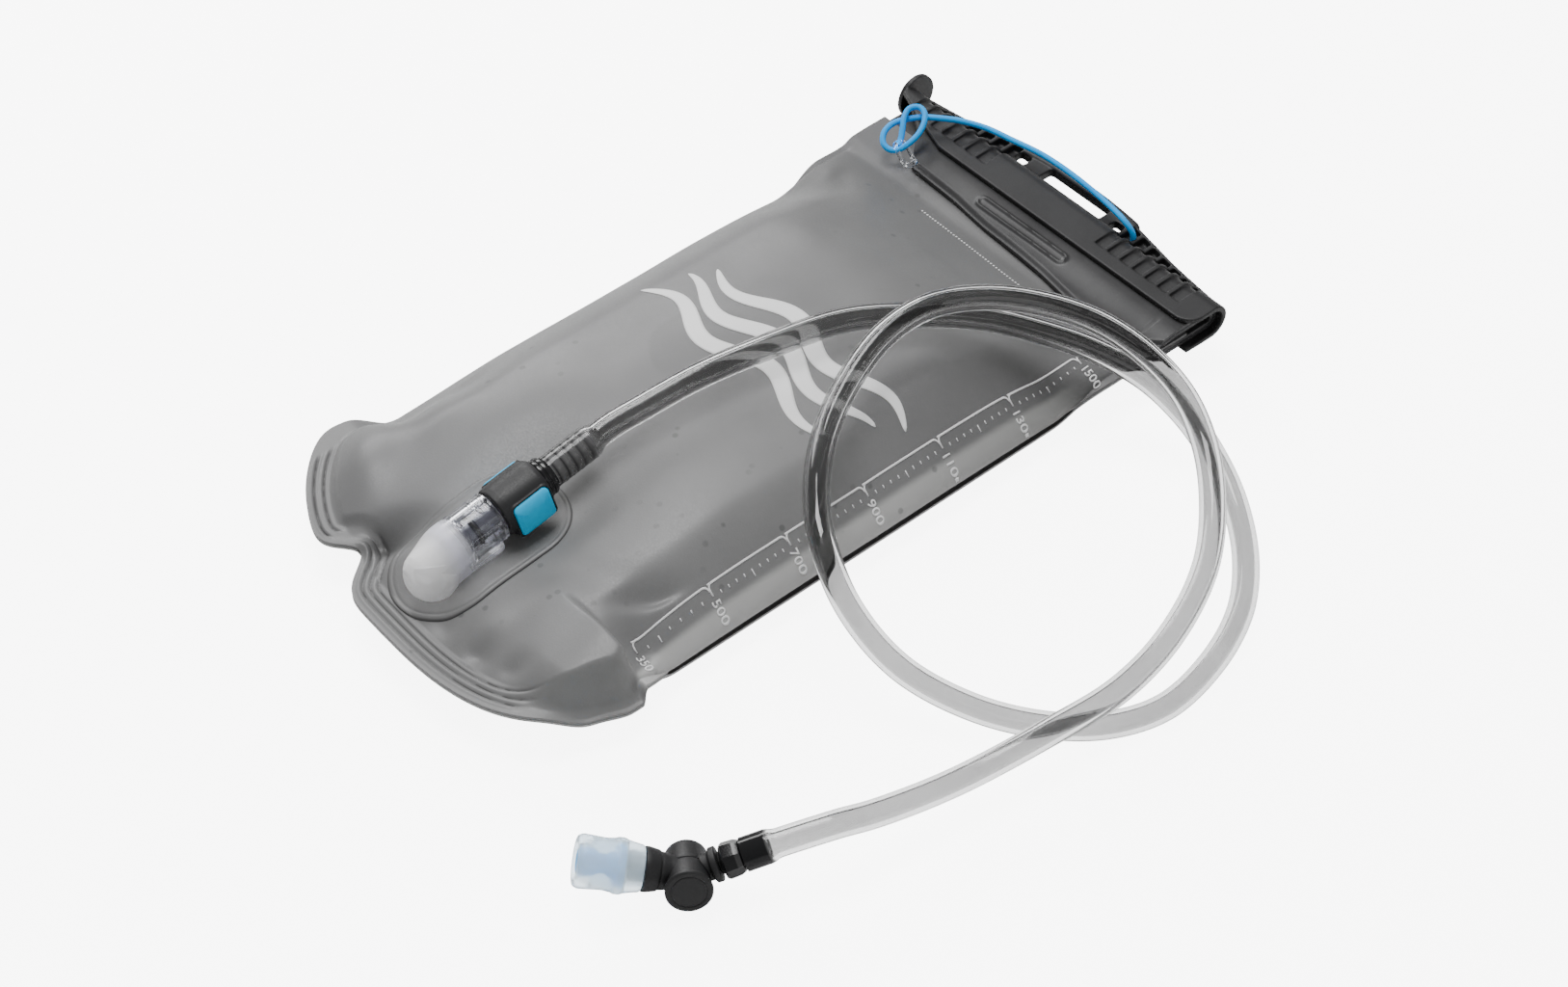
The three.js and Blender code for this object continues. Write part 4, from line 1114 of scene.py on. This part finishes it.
def make_tether():
    """The cord from the handle to the flap, and the clear link that holds it there."""
    path = smooth_curve(TETHER, 1.1)
    cord = tube("tether_cord", path, CORD_RADIUS, None, 20, MATERIALS["cord"])
    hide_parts("tether")
    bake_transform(cord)

    link_path = []
    steps = 64
    centre, heading = Vector((-55, 125.2, 24.2)), math.radians(168)
    direction = Vector((math.cos(heading), math.sin(heading), 0))
    side = Vector((-direction.y, direction.x, 0))
    for k in range(steps):
        angle = 2 * math.pi * k / steps
        along = 3.7 * max(-1, min(1, 2.2 * math.cos(angle))) + 1.6 * math.cos(angle)
        across = 2.35 * math.sin(angle)
        lift = Vector((0, 0, 3.4 * float(ease((along + 3) / 8))))
        link_path.append(centre + direction * along + side * across + lift)
    link = tube("tether_link", link_path, 0.95, None, 16, MATERIALS["link"], closed=True)
    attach(link, "bag")
    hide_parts("tether_tab")


# ---------------------------------------------------------------- the hose port and connector


PORT = Matrix.Translation(PORT_NOSE) @ Matrix.Rotation(PORT_TILT, 4, "X")


def patch_distance(x, y):
    """Distance inside the edge of the stadium-shaped patch."""
    low, high = PATCH_LOW + PATCH_RADIUS, PATCH_HIGH - PATCH_RADIUS
    along = np.maximum(np.maximum(low - y, y - high), 0)
    return PATCH_RADIUS - np.hypot(x - PATCH_X, along)


def make_patch(film):
    """The stadium-shaped patch of film round the hose port, which lies on the front film."""
    probe = surface_probe(film)
    columns, rows = 72, 130
    thickness, groove_at = 1.0, 2.1
    outer = np.zeros((columns, rows, 3))
    inner = outer.copy()
    for i in range(columns):
        across = math.sin(math.pi / 2 * (2 * i / (columns - 1) - 1))
        reach = PATCH_RADIUS * math.sqrt(max(1 - across**2, 0) + 0.0004)
        x = PATCH_X + PATCH_RADIUS * across
        low, high = PATCH_LOW + PATCH_RADIUS - reach, PATCH_HIGH - PATCH_RADIUS + reach
        for j in range(rows):
            share = 0.5 - 0.5 * math.cos(math.pi * j / (rows - 1))
            y = low + (high - low) * share
            hit, _ = probe(x, y)
            edge = float(patch_distance(x, y))
            rounding = min(1, max(edge, 0) / 1.1) ** 0.5
            lift = thickness * (0.25 + 0.75 * rounding) - 0.15 * float(ridge(edge, groove_at, 0.45))
            outer[i, j] = (x, y, hit.z + lift)
            inner[i, j] = (x, y, hit.z + 0.1)
    patch = sheet_solid("patch_film", outer, inner, MATERIALS["patch"])
    where = points_of(patch)
    edge = patch_distance(where[:, 0], where[:, 1])
    paint(patch, "weld", np.zeros(len(where)))
    # painted shadow along the patch's edge and painted shade in its groove
    rim, groove = 1 - ease(edge / 0.9), ridge(edge, groove_at, 0.5)
    paint(patch, "shade", np.clip(0.85 * rim + 0.2 * groove, 0, 1))
    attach(patch, "bag")
    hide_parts("port_patch")
    return patch


def make_housing(patch):
    """The clear housing: a turned barrel, a foot on the patch and a faceted dome over its end."""
    mat = MATERIALS["housing"]
    shell = turned(
        "housing",
        [
            (0, 0), (3.8, 0.5), (5.6, 2.6), (6.6, 5.4), (7.5, 8.5), (8.5, 11.6), (9.2, 14.2), (9.6, 17),
            (9.6, 21.6), (9.25, 21.9), (9.25, 22.7), (9.6, 23), (9.6, 24), (9.25, 24.3), (9.25, 31.6),
            (9.5, 31.9), (9.5, 33), (9.2, 33.3), (9.2, 36), (9.4, 36.3), (9.4, 37.5), (0, 37.5),
        ],
        PORT, mat, 0.5,
    )  # fmt: skip
    probe = surface_probe(patch)
    rings = []
    foot_y, levels = -136.8, 8
    for level in range(levels + 1):
        share = level / levels
        ring = []
        for x, y in rounded_rectangle(7.6 - 1.4 * share, 14.6 - 2.2 * share, 3.4, 8):
            px, py = PORT_NOSE.x + x, foot_y + y
            hit, _ = probe(px, py)
            base = (hit.z if hit is not None else 22) + 0.25
            top = PORT_NOSE.z + (py - PORT_NOSE.y) * math.tan(PORT_TILT)
            ring.append((px, py, base + (top - base) * share))
        rings.append(ring)
    foot = lofted("foot", rings, mat)
    carve(shell, foot, "UNION")
    half_circle = [(10 * math.sin(a), -10 * math.cos(a)) for a in np.linspace(0, math.pi, 37)]
    dome = turned("dome", half_circle, Matrix.Translation(DOME_CENTRE), mat, 0)
    cx, cy, _ = DOME_CENTRE
    lowest = min(probe(x, y)[0].z for x, y in ((cx + 9, cy), (cx - 9, cy), (cx, cy + 9), (cx, cy - 9)))
    under = prism("under", rounded_rectangle(20, 20, 1), flat_on_top(), -9, 9, mat)
    under.data.transform(Matrix.Translation(Vector((cx, cy, lowest - 8.6)) * MM))
    carve(dome, under)
    carve(shell, dome, "UNION")
    facet = prism("facet", rounded_rectangle(6, 6, 1), Matrix.Identity(4), 9.0, 16, mat)
    lean = Vector((0.756, -0.498, 0.426)).to_track_quat("Y", "Z").to_matrix().to_4x4()
    facet.data.transform(Matrix.Translation(DOME_CENTRE * MM) @ lean)
    carve(shell, facet)
    bore = [(0, 5), (5.2, 5), (5.2, 16), (6.9, 16), (6.9, 39), (0, 39)]
    carve(shell, turned("bore", bore, PORT, mat))
    shell.name = "port_housing_clear"
    tidy_normals(shell, 32)
    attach(shell, "bag")
    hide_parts("port_housing")


def barbs(start, end, count, core, crest):
    """Profile points of a row of barbs, each highest just after its start."""
    pitch = (end - start) / count
    points = []
    for k in range(count):
        points += [(crest, start + k * pitch + 0.4), (core, start + (k + 1) * pitch - 0.2)]
    return points


def make_stem():
    """The connector's hollow stem, with two seal grooves and the hose barb."""
    grooves = []
    for at in (22.2, 28.2):
        grooves += [(5.2, at - 1.2), (4.2, at - 1.2), (4.2, at + 1.2), (5.2, at + 1.2)]
    profile = [
        (1.9, 13.2), (2.6, 13.2), (2.6, 18.9), (5.2, 18.9), *grooves, (5.2, 37.5), (5.5, 37.5),
        (5.5, 62), (3.1, 62.3), *barbs(63.2, 81.6, 5, 3.1, 4.1), (2.7, 82), (1.9, 82),
    ]  # fmt: skip
    stem = turned("connector_stem_turned", profile, PORT, MATERIALS["stem"], 0.25, closed=True)
    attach(stem, "connector")
    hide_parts("connector_stem")


def shell_ring(along, half_width, half_height, power):
    """A rounded square round the port's axis; a higher power makes it squarer."""
    count = 72
    ring = []
    for k in range(count):
        angle = 2 * math.pi * k / count
        c, s = math.cos(angle), math.sin(angle)
        x = half_width * math.copysign(abs(c) ** (2 / power), c)
        z = half_height * math.copysign(abs(s) ** (2 / power), s)
        ring.append(PORT @ Vector((x, along, z)))
    return ring


def wing_ring(side, depth, half_along, half_up, radius):
    """A rounded outline round a button, facing out at a depth from the port's axis."""
    ring = []
    for along, up in rounded_rectangle(half_along, half_up, radius):
        z = BUTTON_CENTRE[1] + up
        follow = math.sqrt(1 - ((z + 2.5) / 13) ** 2)
        ring.append(PORT @ Vector((side * depth * follow, BUTTON_CENTRE[0] + along, z)))
    return ring


PAD_EDGE = (  # distance out from the port's axis and step in from the pad's outline
    (9.4, 0), (10.5, 0), (11.0, 0.12), (11.3, 0.45), (11.5, 1.1), (11.55, 2.2), (11.58, 3.6),
)  # fmt: skip


def make_connector_shell():
    """The connector's shell with its two button pads and the collar behind them."""
    mat = MATERIALS["black"]
    stations = [  # distance along the axis, half width, half height, squareness
        (38.3, 9.0, 8.8, 2.05), (38.8, 9.4, 9.2, 2.05), (41, 9.6, 9.4, 2.1), (45, 9.6, 9.4, 2.2),
        (54, 9.6, 9.4, 2.2), (56.2, 9.4, 9.1, 2.2), (57.5, 8.9, 8.6, 2.1), (58, 8.4, 8.1, 2.1),
    ]  # fmt: skip
    shell = lofted("shell", [shell_ring(*station) for station in stations], mat)
    for side in (-1, 1):
        wing = [
            wing_ring(side, 4.5, 9.4, 8.2, 3.2), wing_ring(side, 7.4, 9.2, 7.9, 3.0),
            wing_ring(side, 9.3, 8.5, 7.6, 2.6), wing_ring(side, 10.2, 8.3, 7.4, 2.4),
            wing_ring(side, 10.9, 8.2, 7.3, 2.3),
        ]  # fmt: skip
        carve(shell, lofted("wing", wing, mat), "UNION")
    for side in (-1, 1):
        pocket = [wing_ring(side, depth, 7.6, 6.7, 1.9) for depth in (5.9, 13.5)]
        carve(shell, lofted("pocket", pocket, mat))
    carve(shell, turned("bore", [(0, 36), (5.8, 36), (5.8, 60), (0, 60)], PORT, mat, 0.1))
    mould(shell, 0.2, 3, 0.35)
    shell.name = "connector_shell_moulded"
    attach(shell, "connector")
    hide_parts("connector_shell")

    for side, body in ((-1, "button_left"), (1, "button_right")):
        rings = [
            wing_ring(side, depth, 7.45 - inset, 6.55 - inset, max(1.8 - inset, 0.25))
            for depth, inset in PAD_EDGE
        ]
        pad = lofted(body + "_pad", rings, MATERIALS["button"], 50)
        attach(pad, body)
        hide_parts(body)

    collar = turned(
        "end_collar_turned",
        [
            (5.8, 58.3), (7.5, 58.3), (7.5, 59.4), (7.1, 59.6), (7.1, 60.0), (7.4, 60.2), (7.4, 61.3),
            (7.0, 61.9), (6.2, 62.1), (5.8, 62.1),
        ],
        PORT, MATERIALS["gloss"], 0.3, closed=True,
    )  # fmt: skip
    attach(collar, "connector")
    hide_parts("end_collar")


# ---------------------------------------------------------------- the bite valve

HUB_AXIS.normalize()
HOSE_ARM = (HOSE_ARM - HUB_AXIS * HOSE_ARM.dot(HUB_AXIS)).normalized()
MOUTH_ARM = Matrix.Rotation(MOUTH_ARM_ANGLE, 3, HUB_AXIS) @ HOSE_ARM


def axis_frame(origin, direction, side):
    """Frame whose Y axis is direction and whose X axis is near side."""
    y = direction.normalized()
    x = (side - y * side.dot(y)).normalized()
    z = x.cross(y)
    frame_matrix = Matrix((x, y, z)).transposed().to_4x4()
    return Matrix.Translation(origin) @ frame_matrix


HUB_FRAME = axis_frame(HUB, HUB_AXIS, HOSE_ARM)
ARM_FRAME = axis_frame(HUB, HOSE_ARM, HUB_AXIS)
MOUTH_FRAME = axis_frame(HUB, MOUTH_ARM, HUB_AXIS)


def rod(name, radius, low, high, place, mat, soft=0.0):
    """A solid rod along place's Y axis."""
    return turned(name, [(0, low), (radius, low), (radius, high), (0, high)], place, mat, soft)


def make_valve():
    """The swivelling elbow, the arm with the mouthpiece and the soft bite sheath."""
    black, gloss = MATERIALS["black"], MATERIALS["gloss"]
    elbow = rod("elbow", 7.2, -9.75, -0.15, HUB_FRAME, black, 0.8)
    arm = [(0, 0), (4.9, 0), (4.7, 6.9), (4.7, 8.3), (6, 8.9), (6, 11), (0, 11)]
    arm = turned("arm", arm, ARM_FRAME, black, 0.35)
    carve(arm, rod("other", 7.5, -0.15, 12, HUB_FRAME, black))
    carve(elbow, arm, "UNION")
    carve(elbow, rod("core_bore", 4.2, -7.55, 12, HUB_FRAME, black))
    carve(elbow, rod("socket", 2.9, 7.6, 12, ARM_FRAME, black))
    elbow.name = "valve_elbow_moulded"
    tidy_normals(elbow, 35)
    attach(elbow, "valve_elbow")
    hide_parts("valve_elbow")

    barb = turned(
        "valve_barb_turned",
        [
            (1.6, 7.9), (2.6, 7.9), (2.6, 12.3), (5.6, 12.3), (6.3, 13.4), (6.1, 17.2), (5.4, 19.0),
            (3.1, 19.2), *barbs(19.8, 27.6, 3, 3.1, 4.1), (2.7, 28), (1.6, 28),
        ],
        ARM_FRAME, gloss, 0.25, closed=True, sides=8,
    )  # fmt: skip
    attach(barb, "connector")
    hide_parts("valve_barb")

    mouth = rod("mouth", 7.2, 0.15, 8, HUB_FRAME, black, 0.5)
    cone = turned(
        "cone",
        [
            (0, 0), (5.7, 0), (5.8, 6.2), (6.3, 8.6), (6.3, 9.4), (6.8, 9.8), (7.5, 13.2),
            (7.5, 14.7), (4.5, 14.7), (4.5, 20.5), (0, 20.5),
        ],
        MOUTH_FRAME, black, 0.4,
    )  # fmt: skip
    carve(cone, rod("other", 7.5, -12, 0.15, HUB_FRAME, black))
    carve(mouth, cone, "UNION")
    carve(mouth, rod("core_bore", 4.2, -12, 9, HUB_FRAME, black))
    carve(mouth, rod("waterway", 2.2, 3, 22, MOUTH_FRAME, black))
    mouth.name = "mouth_arm_moulded"
    tidy_normals(mouth, 35)
    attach(mouth, "mouthpiece")
    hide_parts("mouth_arm")

    cap = turned(
        "hub_cap_turned",
        [
            (0, 8.3), (7.7, 8.3), (8, 8.6), (8, 9.5), (7.4, 9.9), (6.2, 9.9), (5.9, 9.6), (5.6, 9.9),
            (0, 9.9),
        ],
        HUB_FRAME, black, 0.25,
    )  # fmt: skip
    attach(cap, "mouthpiece")
    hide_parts("hub_cap")

    seat = turned(
        "bite_seat_turned",
        [
            (0, 21.3), (7.4, 21.3), (7.4, 23.2), (5.2, 24), (3.2, 27), (3.3, 30), (4.7, 32.4),
            (4.9, 35.6), (4.2, 36.3), (0, 36.3),
        ],
        MOUTH_FRAME, MATERIALS["seat"], 0.5,
    )  # fmt: skip
    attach(seat, "mouthpiece")
    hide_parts("bite_seat")

    sheath = turned(
        "bite_sheath_turned",
        [
            (4.8, 15), (7.7, 15), (8.2, 18), (8.8, 20.6), (9.25, 21.4), (9.3, 23.6), (8.9, 24.4),
            (8.5, 27.5), (8.8, 32), (9.0, 35.3), (8.2, 37), (6.0, 37), (5.2, 36.2), (5.2, 34),
            (7.3, 31), (7.6, 27), (7.7, 21), (4.8, 20.8),
        ],
        MOUTH_FRAME, MATERIALS["silicone"], 0.7, closed=True,
    )  # fmt: skip
    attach(sheath, "mouthpiece")
    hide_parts("bite_sheath")
    return elbow, barb, mouth, cap, seat, sheath


# ---------------------------------------------------------------- the hose


def make_hose(valve_pieces):
    """The hose from barb to barb; it widens over each barb, and ribs show through it there."""
    rib_pitch = 3.7
    port_grip, valve_grip = 18.5, 8.2  # where the hose narrows again past each barb
    port_end = [PORT @ Vector((0, s, 0)) for s in (62.6, 72, 82.3, 91)]
    valve_end = [HUB + HOSE_ARM * s for s in (30, 26, 22.5, 19.5)]
    path = smooth_curve([*port_end, *HOSE_LYING, *valve_end], 1.2)
    total = length_of(path)
    outer, inner, grip = [], [], []
    run = 0.0
    for k, point in enumerate(path):
        run += (point - path[k - 1]).length if k else 0
        near_port = float(1 - ease((run - port_grip) / 4))
        near_valve = float(1 - ease((total - run - valve_grip) / 3.5))
        ridges = 0.1 * math.cos(2 * math.pi * run / rib_pitch)
        inner.append(HOSE_BORE + (1.1 + ridges) * near_port + 1.05 * near_valve)
        outer.append(HOSE_RADIUS + (1.3 + ridges) * near_port + 0.9 * near_valve)
        bead = 0.5 + 0.5 * math.cos(2 * math.pi * (run - 1.2) / rib_pitch)
        end = 1 - float(ease((run - port_grip - 0.1) / 0.8))
        grip.append(max(end * (0.35 + 0.65 * bead), float(total - run < valve_grip + 0.2)))
    sides = 32
    hose = tube("drinking_hose", path, outer, inner, sides, MATERIALS["hose"])
    paint(hose, "grip", np.concatenate([np.repeat(grip, sides), np.zeros(sides * len(path))]))
    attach(hose, "connector")
    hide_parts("hose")


def finish_inner_parts():
    """The small inner pieces keep their CAD shapes and get their own finishes."""
    finishes = {
        "frosted": ("poppet", "port_seat", "shutoff_core"),
        "rubber": ("poppet_seal", "front_oring", "rear_oring", "swivel_oring"),
        "steel": ("poppet_spring",),
    }
    for key, pieces in finishes.items():
        for obj in (NODES[name] for name in pieces):
            obj.data.materials.clear()
            obj.data.materials.append(MATERIALS[key])
            bevel = obj.modifiers.new("edges", "BEVEL")
            bevel.width, bevel.segments, bevel.limit_method = 0.12 * MM, 2, "ANGLE"
            obj.data.shade_smooth()


# ---------------------------------------------------------------- assembly

MATERIALS = make_materials()
make_camera()
make_studio()
make_hose(make_valve())
make_tether()
front_film = make_bag()
make_prints(front_film)
make_strip("flap_inner", 2.2, "mouth_strip_front", False)
make_strip("flap_outer", 4.0, "mouth_strip_back", True)
make_slider()
make_housing(make_patch(front_film))
make_stem()
make_connector_shell()
finish_inner_parts()
